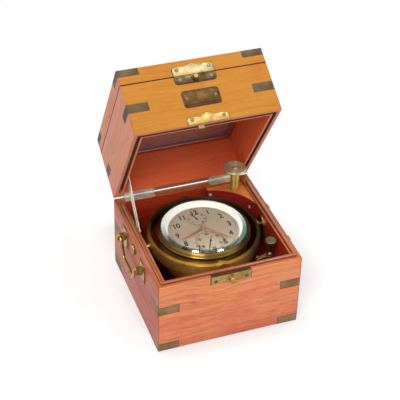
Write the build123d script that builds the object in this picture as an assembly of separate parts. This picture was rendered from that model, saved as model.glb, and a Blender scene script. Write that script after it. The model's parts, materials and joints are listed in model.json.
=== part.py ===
from build123d import *
import os
from math import atan2, cos, degrees, hypot, radians, sin, sqrt

os.makedirs("parts", exist_ok=True)

# A two-tier boxed marine chronometer, in millimetres. The origin is the middle of the
# underside of the case, +Z is up, +X is to the right of the front and the front faces -Y.
# The middle tier and the top lid are drawn shut and then swung open together.

# Clearances
flat_gap = 0.3
running_gap = 0.05
play = 0.3

# Instrument
dial_sight_radius = 45.4
reflector_width = 9.1
reflector_rise = 5.7
dial_thickness = 1.0
bowl_wall = 1.6
bowl_floor = 3.0
bowl_depth = 58.5
bowl_corner_radius = 25.0
bezel_overhang = 3.8
bezel_height = 9.5
bezel_rise = 7.3
bezel_edge = 0.6
bezel_band_height = 4.6
bezel_shoulder_width = 1.3
bezel_shoulder_rise = 0.8
bezel_lip_width = 0.9
bezel_round = 6.5
glass_seat_gap = 0.1
cone_edge = 0.9
cone_foot_width = 1.4
reflector_gap = 1.4
glass_thickness = 3.0
glass_bevel_width = 5.4
glass_bevel_drop = 2.2
dial_above_pivots = 7.7

# Gimbal
ring_gap = 7.9
ring_wall = 4.3
ring_height = 17.0
ring_lug_radius = 10.0
ring_lug_thickness = 6.6
pivot_radius = 3.0
pivot_reach = 9.5
bowl_pivot_radius = 2.5
ring_edge = 1.0
ring_lug_proud = 1.3
ring_collar_width = 2.4
ring_collar_length = 2.0
bowl_pad_proud = 2.5
pivot_proud = 0.4
pivots_below_rim = 16.0
gimbal_behind_middle = 5.5
bracket_width = 22.0
bracket_thickness = 3.0
bracket_tail = 26.0

# Case
wall = 12.0
case_height = 106.0
middle_height = 67.5
top_height = 21.0
floor_thickness = 8.0
top_panel_thickness = 8.0
baize_thickness = 1.2
baize_inset = 1.5
seam_gap = 0.3
lid_open_angle = 59.0

# Rim tongue and groove
tongue_width = 3.6
tongue_height = 3.0
tongue_from_outside = 7.0
tongue_end_from_back = 19.0
tongue_round = 1.1

# Corner straps
strap_length = 27.0
strap_height = 11.0
strap_thickness = 1.8
case_upper_strap_drop = 33.0
middle_strap_rise = 29.3
top_strap_rise = 11.7

# Hinges
hinge_length = 42.0
hinge_from_middle = 60.0
hinge_leaf_thickness = 1.4
hinge_leaf_width = 9.8
hinge_barrel_radius = 2.3
hinge_pin_radius = 1.0
hinge_axis_behind = 1.2
top_hinge_length = 34.0

# Latches and nameplate
latch_half_width = 26.5
latch_plate_thickness = 1.0
latch_plate_height = 12.0
latch_flange_width = 5.1
latch_flange_thickness = 1.0
hook_slot_front = 1.2
hook_slot_back = 1.0
hook_middle = -10.5
hook_width = 7.4
hook_slot_width = 8.6
hook_thickness = 1.6
hook_drop = 5.0
hook_pocket_depth = 8.0
hook_slot_play = 0.7
hook_nib_reach = 0.3
hook_root_height = 6.0
hook_arm_height = 4.0
hook_plate_shoulder = 9.7
hook_plate_peak = 14.2
top_plate_shoulder = 12.0
top_plate_peak = 15.5
keeper_height = 10.9
plate_corner = 4.5
crest_half_width = 12.0
crest_slope = 0.35
button_radius = 3.5
button_collar_width = 1.6
button_collar_height = 2.4
button_proud = 5.6
button_round = 1.9
button_length = 10.0
button_travel = 1.8
button_end_play = 1.0
case_button_drop = 7.2
keeper_button_drop = 5.2
nameplate_width = 47.0
nameplate_height = 21.6
nameplate_thickness = 0.8
nameplate_rise = 34.9
nameplate_corner = 4.0

# Handles
handle_plate_width = 21.0
handle_plate_height = 29.5
handle_plate_thickness = 1.5
handle_plate_spread = 36.0
handle_plate_below_rim = 23.5
handle_axis_below_rim = 21.5
handle_axis_out = 8.0
handle_bar_radius = 2.5
handle_drop = 23.0
handle_grip_half = 21.0
handle_bend = 6.0
handle_eye_radius = 4.7
handle_eye_width = 5.6
handle_end_reach = 1.0
handle_inner_reach = 2.2
handle_end_bend = 3.2
handle_plate_corner = 2.0
bolt_cap_radius = 7.0
bolt_cap_height = 3.3
bolt_cap_round = 1.8
bolt_radius = 2.6

# Lid stay
stay_pin_from_hinge = 61.6
stay_pin_below_hinge = 12.2
stay_shut_angle = 42.5
stay_width = 13.0
stay_thickness = 1.2
stay_from_wall = 3.0
stay_pin_radius = 1.6
stay_washer_radius = 3.6
stay_washer_thickness = 1.0

# Corner block and winding key
block_reach = 52.0
block_arc_radius = 63.4
block_arc_from_wall_x = 61.9
block_arc_from_wall_y = 69.1
block_height = 44.0
block_below_rim = 1.5
key_from_wall_x = 17.4
key_from_wall_y = 16.0
key_shank_radius = 5.6
key_neck_radius = 4.3
key_stem_radius = 3.2
key_stem_length = 26.0
key_neck_length = 5.0
key_shank_length = 29.8
key_head_radius = 15.1
key_head_thickness = 3.0
key_dish_depth = 0.9
key_square = 3.2
key_square_depth = 11.0
key_edge = 0.5
key_rim_width = 0.8
key_centre_radius = 2.4
key_centre_rise = 0.6

# Gimbal lock
lock_from_wall = 9.5
lock_before_pivots = 50.5
lock_knob_radius = 7.6
lock_knob_thickness = 4.0
lock_knob_above_pivots = 12.0
lock_spindle_radius = 2.4
lock_nut_radius = 4.6
lock_arm_below_pivots = 11.7
lock_arm_thickness = 4.0
lock_arm_length = 19.0
lock_arm_width = 6.0
lock_pad_radius = 2.0
lock_pad_below_ring = 0.4
lock_rest_angle = 188.0
lock_bracket_width = 14.0
lock_bracket_thickness = 4.0
lock_bracket_drop = 16.0
lock_back_thickness = 3.0
lock_hub_width = 1.2
lock_collar_height = 2.6
lock_collar_radius = 4.0
lock_taper = 2.0
lock_knob_edge = 0.6

# Glazing of the middle tier
pane_below_top = 12.5
pane_thickness = 3.0
bead_width = 5.5
bead_height = 4.0
bead_round = 2.4
fillet_height = 5.0

# Movement
pillar_plate_thickness = 3.0
lower_plate_thickness = 3.0
lower_plate_radius = 50.0
lower_plate_above_floor = 13.5
pillar_radius = 3.0
pillar_circle = 43.0
barrel_radius = 17.0
drum_below_plate = 8.0
barrel_side = -20.5
fusee_side = 16.0
fusee_radius = 16.0
fusee_small_radius = 8.0
fusee_turns = 7
balance_radius = 14.0
balance_height = 5.0
balance_side = 22.0
cock_thickness = 2.0
cock_gap = 1.4
cock_half_width = 4.0
cock_foot_reach = 7.0
balance_below_plate = 9.0
balance_rim_width = 2.0
balance_arm_thickness = 1.2
balance_staff_radius = 1.0
drum_above_plate = 7.0
drum_wall = 1.5
drum_core_radius = 4.0
fusee_wheel_height = 4.0
chain_groove_depth = 0.8
winding_square_above_floor = 3.0
arbor_radius = 1.5
small_arbor_radius = 0.7
bush_depth = 2.0
arbor_end_play = 0.3
winding_hole_radius = 6.5
shutter_radius = 27.0
shutter_thickness = 1.2
shutter_knob_radius = 2.0
shutter_knob_inset = 4.0
shutter_knob_drop = 1.6
stud_radius = 2.2
stud_head_radius = 4.2
stud_head_thickness = 1.2
balance_weight_out = 24.0
balance_weight_aim = 223.2
balance_weight_radius = 9.0
balance_weight_height = 6.7

# Hands
subdial_offset = 22.6
seconds_hand_length = 16.0
seconds_hand_width = 1.0
seconds_hand_tail = 7.5
seconds_hand_hub = 1.3
reserve_hand_length = 10.5
reserve_hand_width = 1.1
reserve_hand_tail = 3.0
reserve_hand_hub = 1.2
minute_hand_length = 42.0
minute_hand_width = 2.6
minute_hand_tail = 7.0
minute_hand_hub = 2.2
hour_hand_length = 37.0
hour_hand_width = 3.4
hour_hand_tail = 3.0
hour_hand_hub = 2.7
hand_thickness = 0.5
hand_step = 0.5
hand_tip_half_width = 0.18
hour_hand_above_dial = 3.2
hour_pipe_wall = 0.7
centre_nut_height = 0.5
small_arbor_reach = 1.5
dial_turn = 3.4
minutes_shown = 24.0
hour_shown = 8.0
seconds_shown = 35.0
reserve_shown_angle = -16.0

# Places worked out from the sizes above
gimbal_height = case_height - pivots_below_rim
bowl_inner_radius = dial_sight_radius + reflector_width + reflector_gap
bowl_radius = bowl_inner_radius + bowl_wall
bezel_radius = bowl_radius + bezel_overhang
ring_inner_radius = bezel_radius + ring_gap
ring_radius = ring_inner_radius + ring_wall
inside = ring_radius + pivot_reach
outside = inside + wall
middle_top = case_height + middle_height
glass_pane_height = middle_top - pane_below_top
handle_axis_height = case_height - handle_axis_below_rim
handle_plate_middle = case_height - handle_plate_below_rim
lid_bottom = case_height + seam_gap
top_bottom = middle_top + seam_gap
box_top = middle_top + top_height
hinge_y = outside + hinge_axis_behind
hinge_z = case_height + seam_gap / 2
top_hinge_z = middle_top + seam_gap / 2
gimbal = Pos(0, gimbal_behind_middle, gimbal_height)


def block(x, y, z):
    """A box from its lowest and highest x, y and z."""
    size = Box(x[1] - x[0], y[1] - y[0], z[1] - z[0])
    return Pos((x[0] + x[1]) / 2, (y[0] + y[1]) / 2, (z[0] + z[1]) / 2) * size


def post(x, y, low, high, radius):
    """An upright round bar."""
    return Pos(x, y, (low + high) / 2) * Cylinder(radius, high - low)


def bar_y(x, z, near, far, radius):
    """A round bar that lies along Y."""
    return Pos(x, (near + far) / 2, z) * Rot(90, 0, 0) * Cylinder(radius, far - near)


def bar_x(y, z, left, right, radius):
    """A round bar that lies along X."""
    return Pos((left + right) / 2, y, z) * Rot(0, 90, 0) * Cylinder(radius, right - left)


def turned(points):
    """A solid of revolution about Z from points of radius and height."""
    return revolve(Plane.XZ * flat(points), Axis.Z)


def swung_open(shape):
    """Swings a piece of the middle tier or the top lid from shut to open."""
    axis = Axis((0, hinge_y, hinge_z), (1, 0, 0))
    return shape.rotate(axis, -lid_open_angle)


def flat(points):
    """A face in the XY plane from its corner points."""
    return make_face(Polyline(*points, close=True))


def on_four_sides(piece):
    """Four copies of a piece, a quarter turn apart about the middle of the case."""
    return [piece.rotate(Axis.Z, 90 * turn) for turn in range(4)]


def mitred_walls(low, high):
    """Front, right, back and left boards that meet in mitres."""
    outline = [(-outside, -outside), (outside, -outside), (inside, -inside), (-inside, -inside)]
    board = extrude(flat(outline), high - low)
    return on_four_sides(Pos(0, 0, low) * board)


def corner_straps(low, high):
    """Four brass angles let in flush round the corners."""
    reach = (-outside, -outside + strap_length)
    outer = block(reach, reach, (low, high))
    skin = outside - strap_thickness
    inner = block((-skin, 0), (-skin, 0), (low - 1, high + 1))
    return on_four_sides(outer - inner)


def cut_from(pieces, tools):
    """Cuts every tool from every piece and keeps each piece as one solid."""
    result = pieces
    for tool in tools:
        result = [piece - tool for piece in result]
    return [solid for piece in result for solid in piece.solids()]


def butt_hinge(axis_z, rim_below, rim_above, length):
    """The lower leaves, upper leaves, pins and cutters of a pair of butt hinges."""
    third = length / 3
    leaf_edge = outside - hinge_leaf_width
    lower, upper, pins, cutters = [], [], [], []
    for side in (-1, 1):
        middle = side * hinge_from_middle
        ends = (middle - length / 2, middle + length / 2)
        knuckles = [
            (ends[0], ends[0] + third - play / 2),
            (ends[0] + third + play / 2, ends[1] - third - play / 2),
            (ends[1] - third + play / 2, ends[1]),
        ]
        bore = bar_x(hinge_y, axis_z, ends[0] - 1, ends[1] + 1, hinge_pin_radius + running_gap)
        leaf_y = (leaf_edge, hinge_y)
        low_z = rim_below - hinge_leaf_thickness
        high_z = rim_above + hinge_leaf_thickness
        low_leaf = block(ends, leaf_y, (low_z, rim_below))
        high_leaf = block(ends, leaf_y, (rim_above, high_z))
        for number, (left, right) in enumerate(knuckles):
            room = bar_x(hinge_y, axis_z, left - play, right + play, hinge_barrel_radius + play)
            if number == 1:
                low_leaf = low_leaf - room
            else:
                high_leaf = high_leaf - room
        for number, (left, right) in enumerate(knuckles):
            barrel = bar_x(hinge_y, axis_z, left, right, hinge_barrel_radius)
            if number == 1:
                high_leaf = high_leaf + barrel
            else:
                low_leaf = low_leaf + barrel
        lower.append(low_leaf - bore)
        upper.append(high_leaf - bore)
        pins.append(bar_x(hinge_y, axis_z, ends[0], ends[1], hinge_pin_radius))
        wide = (ends[0] - play, ends[1] + play)
        cutters.append(block(wide, (leaf_edge - play, outside + 1), (low_z, high_z)))
        cutters.append(bar_x(hinge_y, axis_z, wide[0], wide[1], hinge_barrel_radius + play))
    return lower, upper, pins, cutters


def ogee_plate(low, shoulder, peak, thickness):
    """A front plate with rounded shoulders and an ogee crest."""
    left = -latch_half_width
    turn = (left, shoulder - plate_corner)
    top = (left + plate_corner, shoulder)
    edge = Line((left, 0), turn)
    edge += RadiusArc(turn, top, plate_corner)
    edge += Line(top, (-crest_half_width, shoulder))
    edge += Spline((-crest_half_width, shoulder), (0, peak), tangents=[(1, 0), (1, crest_slope)])
    edge += mirror(edge, Plane.YZ)
    edge += Line((left, 0), (-left, 0))
    plate = extrude(Plane.XZ * make_face(edge), thickness)
    return Pos(0, -outside, low) * plate


def button_hole(z, depth):
    """The room in the wood behind a push button."""
    return bar_y(0, z, -outside - 1, -outside + depth, button_radius + play)


def push_button(z):
    """A domed push button that slides in its collar."""
    head = -outside - latch_plate_thickness - button_proud
    stem = bar_y(0, z, head, head + button_length, button_radius)
    return fillet(stem.edges().group_by(Axis.Y)[0], button_round)


def button_collar(z):
    """The raised collar that guides a push button."""
    front = -outside - latch_plate_thickness
    return bar_y(0, z, front - button_collar_height, front, button_radius + button_collar_width)


def hand(size, low, angle, centre_y):
    """A leaf-shaped hand on the dial, turned clockwise from twelve by an angle in degrees."""
    length, width, tail, hub = size
    belly = (width / 2, length * 0.62)
    root = (width * 0.22, 0)
    tip = (hand_tip_half_width, length)
    right = Spline(root, belly, tip, tangents=[(0, 1), (-0.12, 1)])
    outline = Curve() + right + mirror(right, Plane.YZ)
    outline += Line((-tip[0], length), tip)
    outline += Line((-root[0], 0), root)
    blade = extrude(make_face(outline), hand_thickness)
    blade += Pos(0, -tail / 2, hand_thickness / 2) * Box(width / 2, tail, hand_thickness)
    blade += post(0, 0, 0, hand_thickness, hub)
    return Pos(0, centre_y, low) * blade.rotate(Axis.Z, -angle)


def on_dial(shape):
    """Turns a piece drawn upright about the dial's middle and sets it in the bowl."""
    return gimbal * shape.rotate(Axis.Z, dial_turn)


pieces = {}

# Case: floor board, four mitred boards, baize underneath and brass corner angles
walls = mitred_walls(baize_thickness, case_height)
upper_strap_top = case_height - case_upper_strap_drop
low_straps = corner_straps(baize_thickness, baize_thickness + strap_height)
high_straps = corner_straps(upper_strap_top - strap_height, upper_strap_top)
hinge = butt_hinge(hinge_z, case_height, lid_bottom, hinge_length)
hinge_lower, hinge_upper, hinge_pins, hinge_room = hinge

# Latch plate on the front of the case, with a flange over the rim and a slot for the hook
case_button_z = case_height - case_button_drop
flange_back = -outside + latch_flange_width
plate_x = (-latch_half_width, latch_half_width)
plate_y = (-outside - latch_plate_thickness, -outside)
plate_z = (case_height - latch_plate_height, case_height)
latch_plate = block(plate_x, plate_y, plate_z)
flange = block(plate_x, (-outside, flange_back), (case_height - latch_flange_thickness, case_height))
slot_x = (hook_middle - hook_slot_width / 2, hook_middle + hook_slot_width / 2)
slot_y = (-outside + hook_slot_front, flange_back - hook_slot_back)
hook_slot = block(slot_x, slot_y, (case_height - hook_pocket_depth, case_height + 1))
latch_plate = latch_plate + flange + button_collar(case_button_z) - hook_slot
button_bore = bar_y(0, case_button_z, -outside - button_length, -outside + 1, button_radius + running_gap)
latch_plate = latch_plate - button_bore
pieces["latch_plate"] = latch_plate
pieces["latch_button"] = push_button(case_button_z)
button_depth = button_length - button_proud - latch_plate_thickness + button_travel + button_end_play
button_room = button_hole(case_button_z, button_depth)

# Bolts through the side walls that hold the gimbal brackets, with caps outside
bolts = []
bolt_rooms = []
for side in (-1, 1):
    ends = sorted((side * inside, side * outside))
    cap = sorted((side * outside, side * (outside + bolt_cap_height)))
    shank = bar_x(gimbal_behind_middle, gimbal_height, ends[0], ends[1], bolt_radius)
    dome = bar_x(gimbal_behind_middle, gimbal_height, cap[0], cap[1], bolt_cap_radius)
    outer_edge = dome.edges().group_by(Axis.X)[0 if side < 0 else -1]
    bolts.append(shank + fillet(outer_edge, bolt_cap_round))
    room = bar_x(gimbal_behind_middle, gimbal_height, ends[0], ends[1], bolt_radius + running_gap)
    bolt_rooms.append(room)
pieces["bracket_bolts"] = bolts

recesses = low_straps + high_straps + hinge_room + bolt_rooms + [flange, hook_slot, button_room]
pieces["case_walls"] = cut_from(walls, recesses)
pieces["case_straps"] = low_straps + high_straps
across = (-inside, inside)
pieces["case_floor"] = block(across, across, (baize_thickness, baize_thickness + floor_thickness))
baize_across = (-outside + baize_inset, outside - baize_inset)
pieces["base_baize"] = block(baize_across, baize_across, (0, baize_thickness))

# Tongue along the front and side rims, which enters the groove of the middle tier
tongue_mid = outside - tongue_from_outside
half_tongue = tongue_width / 2
tongue_back = outside - tongue_end_from_back
tongue_outer = tongue_mid + half_tongue
tongue_inner = tongue_mid - half_tongue
outer_corner = (-tongue_outer, -tongue_outer)
inner_corner = (-tongue_inner, -tongue_inner)
front_line = [outer_corner, (tongue_outer, -tongue_outer), (tongue_inner, -tongue_inner), inner_corner]
side_line = [outer_corner, inner_corner, (-tongue_inner, tongue_back), (-tongue_outer, tongue_back)]
front_tongue = Pos(0, 0, case_height) * extrude(flat(front_line), tongue_height)
side_tongue = Pos(0, 0, case_height) * extrude(flat(side_line), tongue_height)
front_top = front_tongue.edges().filter_by(Axis.X).group_by(Axis.Z)[-1]
side_top = side_tongue.edges().filter_by(Axis.Y).group_by(Axis.Z)[-1]
front_tongue = fillet(front_top, tongue_round)
side_tongue = fillet(side_top, tongue_round)
pieces["rim_tongue"] = [front_tongue, side_tongue, mirror(side_tongue, Plane.YZ)]
groove_half = half_tongue + flat_gap / 2
groove_z = (lid_bottom - 1, lid_bottom + tongue_height + flat_gap)
groove_outer = tongue_mid + groove_half
groove_inner = tongue_mid - groove_half
groove_out = block((-groove_outer, groove_outer), (-groove_outer, inside), groove_z)
groove_in = block((-groove_inner, groove_inner), (-groove_inner, outside), groove_z)
groove = groove_out - groove_in

# Drop handles: two plates with eyes on each side wall, and a bail that hangs between them
bar_end = handle_plate_spread + handle_eye_width / 2 + handle_end_reach
bar_inner = handle_plate_spread - handle_eye_width / 2 - handle_inner_reach
grip_z = handle_axis_height - handle_drop
plate_low = handle_plate_middle - handle_plate_height / 2
plate_z = (plate_low, plate_low + handle_plate_height)
for side, word in ((-1, "left"), (1, "right")):
    axis_x = side * (outside + handle_axis_out)
    plate_x = sorted((side * outside, side * (outside + handle_plate_thickness)))
    plates = []
    for end in (-1, 1):
        y = end * handle_plate_spread + gimbal_behind_middle
        half = handle_plate_width / 2
        plate = block(plate_x, (y - half, y + half), plate_z)
        plate = fillet(plate.edges().filter_by(Axis.X), handle_plate_corner)
        neck_x = sorted((side * (outside + handle_plate_thickness / 2), axis_x))
        neck_half = handle_eye_width / 2
        neck_z = (handle_axis_height - handle_eye_radius, handle_axis_height + handle_eye_radius)
        eye = block(neck_x, (y - neck_half, y + neck_half), neck_z)
        eye += bar_y(axis_x, handle_axis_height, y - neck_half, y + neck_half, handle_eye_radius)
        hole = bar_y(axis_x, handle_axis_height, y - half, y + half, handle_bar_radius + running_gap)
        plates.append(plate + eye - hole)
    pieces[f"handle_plates_{word}"] = plates
    y0 = gimbal_behind_middle
    route = [
        (axis_x, y0 - bar_end, handle_axis_height),
        (axis_x, y0 - bar_inner, handle_axis_height),
        (axis_x, y0 - handle_grip_half, grip_z),
        (axis_x, y0 + handle_grip_half, grip_z),
        (axis_x, y0 + bar_inner, handle_axis_height),
        (axis_x, y0 + bar_end, handle_axis_height),
    ]
    bends = [handle_end_bend, handle_bend, handle_bend, handle_end_bend]
    path = FilletPolyline(*route, radius=bends)
    start = Plane(origin=route[0], x_dir=(1, 0, 0), z_dir=(0, 1, 0))
    pieces[f"handle_{word}"] = sweep(start * Circle(handle_bar_radius), path)

# Gimbal brackets on the inner faces of the side walls
brackets = []
for side in (-1, 1):
    face = sorted((side * inside, side * (inside - bracket_thickness)))
    half = bracket_width / 2
    y0 = gimbal_behind_middle
    bracket = block(face, (y0 - half, y0 + half), (gimbal_height - bracket_tail, gimbal_height))
    bracket += bar_x(y0, gimbal_height, face[0], face[1], half)
    bore = bar_x(y0, gimbal_height, face[0] - 1, face[1] + 1, pivot_radius + running_gap)
    brackets.append(bracket - bore)
pieces["gimbal_brackets"] = brackets

# Gimbal ring: a flat hoop with round lugs front and back for the bowl's pivots
half_ring = ring_height / 2
hoop_profile = [
    (ring_inner_radius, -half_ring),
    (ring_radius - ring_edge, -half_ring),
    (ring_radius, -half_ring + ring_edge),
    (ring_radius, half_ring - ring_edge),
    (ring_radius - ring_edge, half_ring),
    (ring_inner_radius, half_ring),
]
hoop = turned(hoop_profile)
lug_out = ring_radius + ring_lug_proud
for end in (-1, 1):
    near, far = sorted((end * (lug_out - ring_lug_thickness), end * lug_out))
    hoop += bar_y(0, 0, near, far, ring_lug_radius)
    hoop -= bar_y(0, 0, near - 1, far + 1, bowl_pivot_radius + running_gap)
for side in (-1, 1):
    near, far = sorted((side * (ring_inner_radius - 1), side * (ring_radius + 1)))
    hoop -= bar_x(0, 0, near, far, pivot_radius)
pieces["gimbal_ring"] = gimbal * hoop
ring_pivots = []
for side in (-1, 1):
    near, far = sorted((side * (ring_inner_radius + play), side * (inside - play)))
    screw = bar_x(0, 0, near, far, pivot_radius)
    near, far = sorted((side * ring_radius, side * (ring_radius + ring_collar_length)))
    screw += bar_x(0, 0, near, far, pivot_radius + ring_collar_width)
    ring_pivots.append(gimbal * screw)
pieces["ring_pivots"] = ring_pivots

# Bowl: a turned brass cup with a rounded bottom and pads for its two pivots
bowl_top = dial_above_pivots
bottom = bowl_top - bowl_depth
outer_arc = bottom + bowl_corner_radius
inner_bend = bowl_corner_radius - bowl_wall
floor_radius = bowl_radius - bowl_corner_radius
floor_top = bottom + bowl_floor
inner_arc = floor_top + inner_bend
cup_line = Polyline((0, bottom), (floor_radius, bottom))
cup_line += RadiusArc((floor_radius, bottom), (bowl_radius, outer_arc), -bowl_corner_radius)
rim_points = [(bowl_radius, outer_arc), (bowl_radius, bowl_top), (bowl_inner_radius, bowl_top)]
cup_line += Polyline(*rim_points, (bowl_inner_radius, inner_arc))
cup_line += RadiusArc((bowl_inner_radius, inner_arc), (floor_radius, floor_top), inner_bend)
cup_line += Polyline((floor_radius, floor_top), (0, floor_top), (0, bottom))
cup = revolve(Plane.XZ * make_face(cup_line), Axis.Z)
bezel_top = dial_above_pivots + bezel_rise
bezel_low = bezel_top - bezel_height
bowl_pad_radius = bezel_low - play
bowl_pivots = []
for end in (-1, 1):
    pad_face = bowl_radius + bowl_pad_proud
    near, far = sorted((end * (bowl_radius - bowl_wall / 2), end * pad_face))
    cup += bar_y(0, 0, near, far, bowl_pad_radius)
    near, far = sorted((end * pad_face, end * (lug_out + pivot_proud)))
    bowl_pivots.append(gimbal * bar_y(0, 0, near, far, bowl_pivot_radius))
cup -= post(0, 0, inner_arc, bowl_top + 1, bowl_inner_radius)
cup -= post(fusee_side, 0, bottom - 1, floor_top + 1, winding_hole_radius)
weight_aim = radians(balance_weight_aim)
weight_x = balance_weight_out * cos(weight_aim)
weight_y = balance_weight_out * sin(weight_aim)
cup += post(weight_x, weight_y, floor_top - 1, floor_top + balance_weight_height, balance_weight_radius)
shutter_low = bottom - play - shutter_thickness
stud_head_top = shutter_low - play
stud_low = stud_head_top - stud_head_thickness
cup += post(0, 0, stud_low, bottom + 0.5, stud_radius)
cup += post(0, 0, stud_low, stud_head_top, stud_head_radius)
pieces["bowl_shell"] = gimbal * cup
pieces["bowl_pivots"] = bowl_pivots

# Dust shutter that turns under the bowl to open the winding hole
shutter_top = shutter_low + shutter_thickness
shutter = post(0, 0, shutter_low, shutter_top, shutter_radius)
shutter -= post(0, 0, shutter_low - 1, shutter_top + 1, stud_radius + running_gap)
shutter -= post(0, -fusee_side, shutter_low - 1, shutter_top + 1, winding_hole_radius)
knob_out = shutter_radius - shutter_knob_inset
shutter += post(0, -knob_out, shutter_low - shutter_knob_drop, shutter_low + 0.2, shutter_knob_radius)
pieces["winding_shutter"] = gimbal * shutter

# Bezel: a turned ring over the top of the bowl that holds the bevelled glass
bezel_bore = bowl_radius + running_gap
glass_radius = bowl_inner_radius - flat_gap
bezel_band_top = bezel_low + bezel_band_height
shoulder_radius = bezel_radius - bezel_shoulder_width
shoulder = (shoulder_radius, bezel_band_top + bezel_shoulder_rise)
lip = bowl_inner_radius + bezel_lip_width
seat = dial_above_pivots + flat_gap
bezel_foot = [(bezel_bore, bezel_low), (bezel_radius - bezel_edge, bezel_low)]
bezel_band = [(bezel_radius, bezel_low + bezel_edge), (bezel_radius, bezel_band_top)]
bezel_line = Polyline(*bezel_foot, *bezel_band, shoulder)
bezel_line += RadiusArc(shoulder, (lip, bezel_top), -bezel_round)
bezel_end = [(lip, bezel_top), (bowl_inner_radius, bezel_top), (bowl_inner_radius, seat)]
bezel_line += Polyline(*bezel_end, (bezel_bore, seat), (bezel_bore, bezel_low))
pieces["bezel"] = gimbal * revolve(Plane.XZ * make_face(bezel_line), Axis.Z)
glass_low = dial_above_pivots + reflector_rise + glass_seat_gap
glass_top = glass_low + glass_thickness
glass_points = [
    (0, glass_low),
    (glass_radius, glass_low),
    (glass_radius, glass_top - glass_bevel_drop),
    (glass_radius - glass_bevel_width, glass_top),
    (0, glass_top),
]
pieces["bowl_glass"] = gimbal * turned(glass_points)

# Silvered cone between the dial and the glass, and the dial itself
cone_points = [
    (dial_sight_radius, dial_above_pivots),
    (dial_sight_radius + reflector_width, dial_above_pivots + reflector_rise),
    (glass_radius, dial_above_pivots + reflector_rise),
    (glass_radius, dial_above_pivots + reflector_rise - cone_edge),
    (dial_sight_radius + cone_foot_width, dial_above_pivots),
]
pieces["reflector_ring"] = gimbal * turned(cone_points)
dial_low = dial_above_pivots - dial_thickness
dial = post(0, 0, dial_low, dial_above_pivots, glass_radius)
arbors = ((0, arbor_radius), (-subdial_offset, small_arbor_radius), (subdial_offset, small_arbor_radius))
for y, radius in arbors:
    dial -= post(0, y, dial_low - 1, dial_above_pivots + 1, radius + play)
pieces["dial"] = gimbal * dial.rotate(Axis.Z, dial_turn)

# Movement: pillar plate, lower plate and four pillars, spring barrel, fusee and balance
plate_low = dial_low - pillar_plate_thickness
lower_low = floor_top + lower_plate_above_floor
lower_top = lower_low + lower_plate_thickness
pillar_plate = post(0, 0, plate_low, dial_low, glass_radius)
for y, radius in arbors:
    pillar_plate -= post(0, y, plate_low - 1, dial_low + 1, radius + running_gap)
pillar_plate = pillar_plate.rotate(Axis.Z, dial_turn)
lower_plate = post(0, 0, lower_low, lower_top, lower_plate_radius)
bore_sides = ((fusee_side, 0), (barrel_side, 0))
for x, y in bore_sides:
    pillar_plate -= post(x, y, plate_low - 1, plate_low + bush_depth, arbor_radius + running_gap)
    lower_plate -= post(x, y, lower_low - 1, lower_top + 1, arbor_radius + running_gap)
lower_plate -= post(0, 0, lower_low - 1, lower_top + 1, arbor_radius + running_gap)
lower_plate -= post(0, balance_side, lower_low - 1, lower_top + 1, arbor_radius + running_gap)
pillar = post(pillar_circle, 0, lower_top, plate_low, pillar_radius)
pillars = on_four_sides(pillar.rotate(Axis.Z, 45))
pieces["movement_plates"] = [gimbal * pillar_plate, gimbal * lower_plate]
pieces["movement_pillars"] = [gimbal * pillar for pillar in pillars]

drum_low = lower_top + drum_above_plate
drum_top = plate_low - drum_below_plate
arbor_top = plate_low + bush_depth - arbor_end_play
drum = post(barrel_side, 0, drum_low, drum_top, barrel_radius)
drum -= post(barrel_side, 0, drum_low + drum_wall, drum_top - drum_wall, barrel_radius - drum_wall)
drum += post(barrel_side, 0, drum_low, drum_top, drum_core_radius)
drum += post(barrel_side, 0, lower_low + arbor_end_play, arbor_top, arbor_radius)
pieces["mainspring_barrel"] = gimbal * drum

groove_pitch = (drum_top - drum_low) / fusee_turns
groove_radius = fusee_radius - 1.0
wheel_low = drum_low - fusee_wheel_height
cone_line = [(0, wheel_low), (fusee_radius, wheel_low), (fusee_radius, drum_low)]
for turn in range(fusee_turns):
    radius = groove_radius - (groove_radius - fusee_small_radius) * sqrt(turn / fusee_turns)
    root = radius - chain_groove_depth
    z = drum_low + turn * groove_pitch
    land = z + groove_pitch * 0.25
    cone_line += [(radius, z), (radius, land)]
    cone_line += [(root, land + chain_groove_depth / 2), (root, z + groove_pitch * 0.9)]
cone_line += [(fusee_small_radius - chain_groove_depth, drum_top), (0, drum_top)]
fusee = turned(cone_line)
fusee += post(0, 0, floor_top + winding_square_above_floor, arbor_top, arbor_radius)
fusee = Pos(fusee_side, 0, 0) * fusee
pieces["fusee"] = gimbal * fusee

balance_low = lower_low - balance_below_plate
balance_top = balance_low + balance_height
rim = post(0, 0, balance_low, balance_top, balance_radius)
rim -= post(0, 0, balance_low - 1, balance_top + 1, balance_radius - balance_rim_width)
arm_length = 2 * balance_radius - balance_rim_width
rim += Pos(0, 0, (balance_low + balance_top) / 2) * Box(arm_length, balance_rim_width, balance_arm_thickness)
rim += post(0, 0, balance_low - cock_gap - cock_thickness, lower_low + bush_depth, balance_staff_radius)
pieces["balance"] = gimbal * (Pos(0, balance_side, 0) * rim)
cock_top = balance_low - cock_gap
cock_low = cock_top - cock_thickness
cock_x = (-cock_half_width, cock_half_width)
cock_foot = balance_side - balance_radius - cock_foot_reach
cock = block(cock_x, (cock_foot, balance_side + cock_half_width), (cock_low, cock_top))
foot_end = balance_side - balance_radius - cock_gap
cock += block(cock_x, (cock_foot, foot_end), (cock_low, lower_low))
cock -= post(0, balance_side, cock_low - 1, cock_top + 1, balance_staff_radius + running_gap)
pieces["balance_cock"] = gimbal * cock

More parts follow.
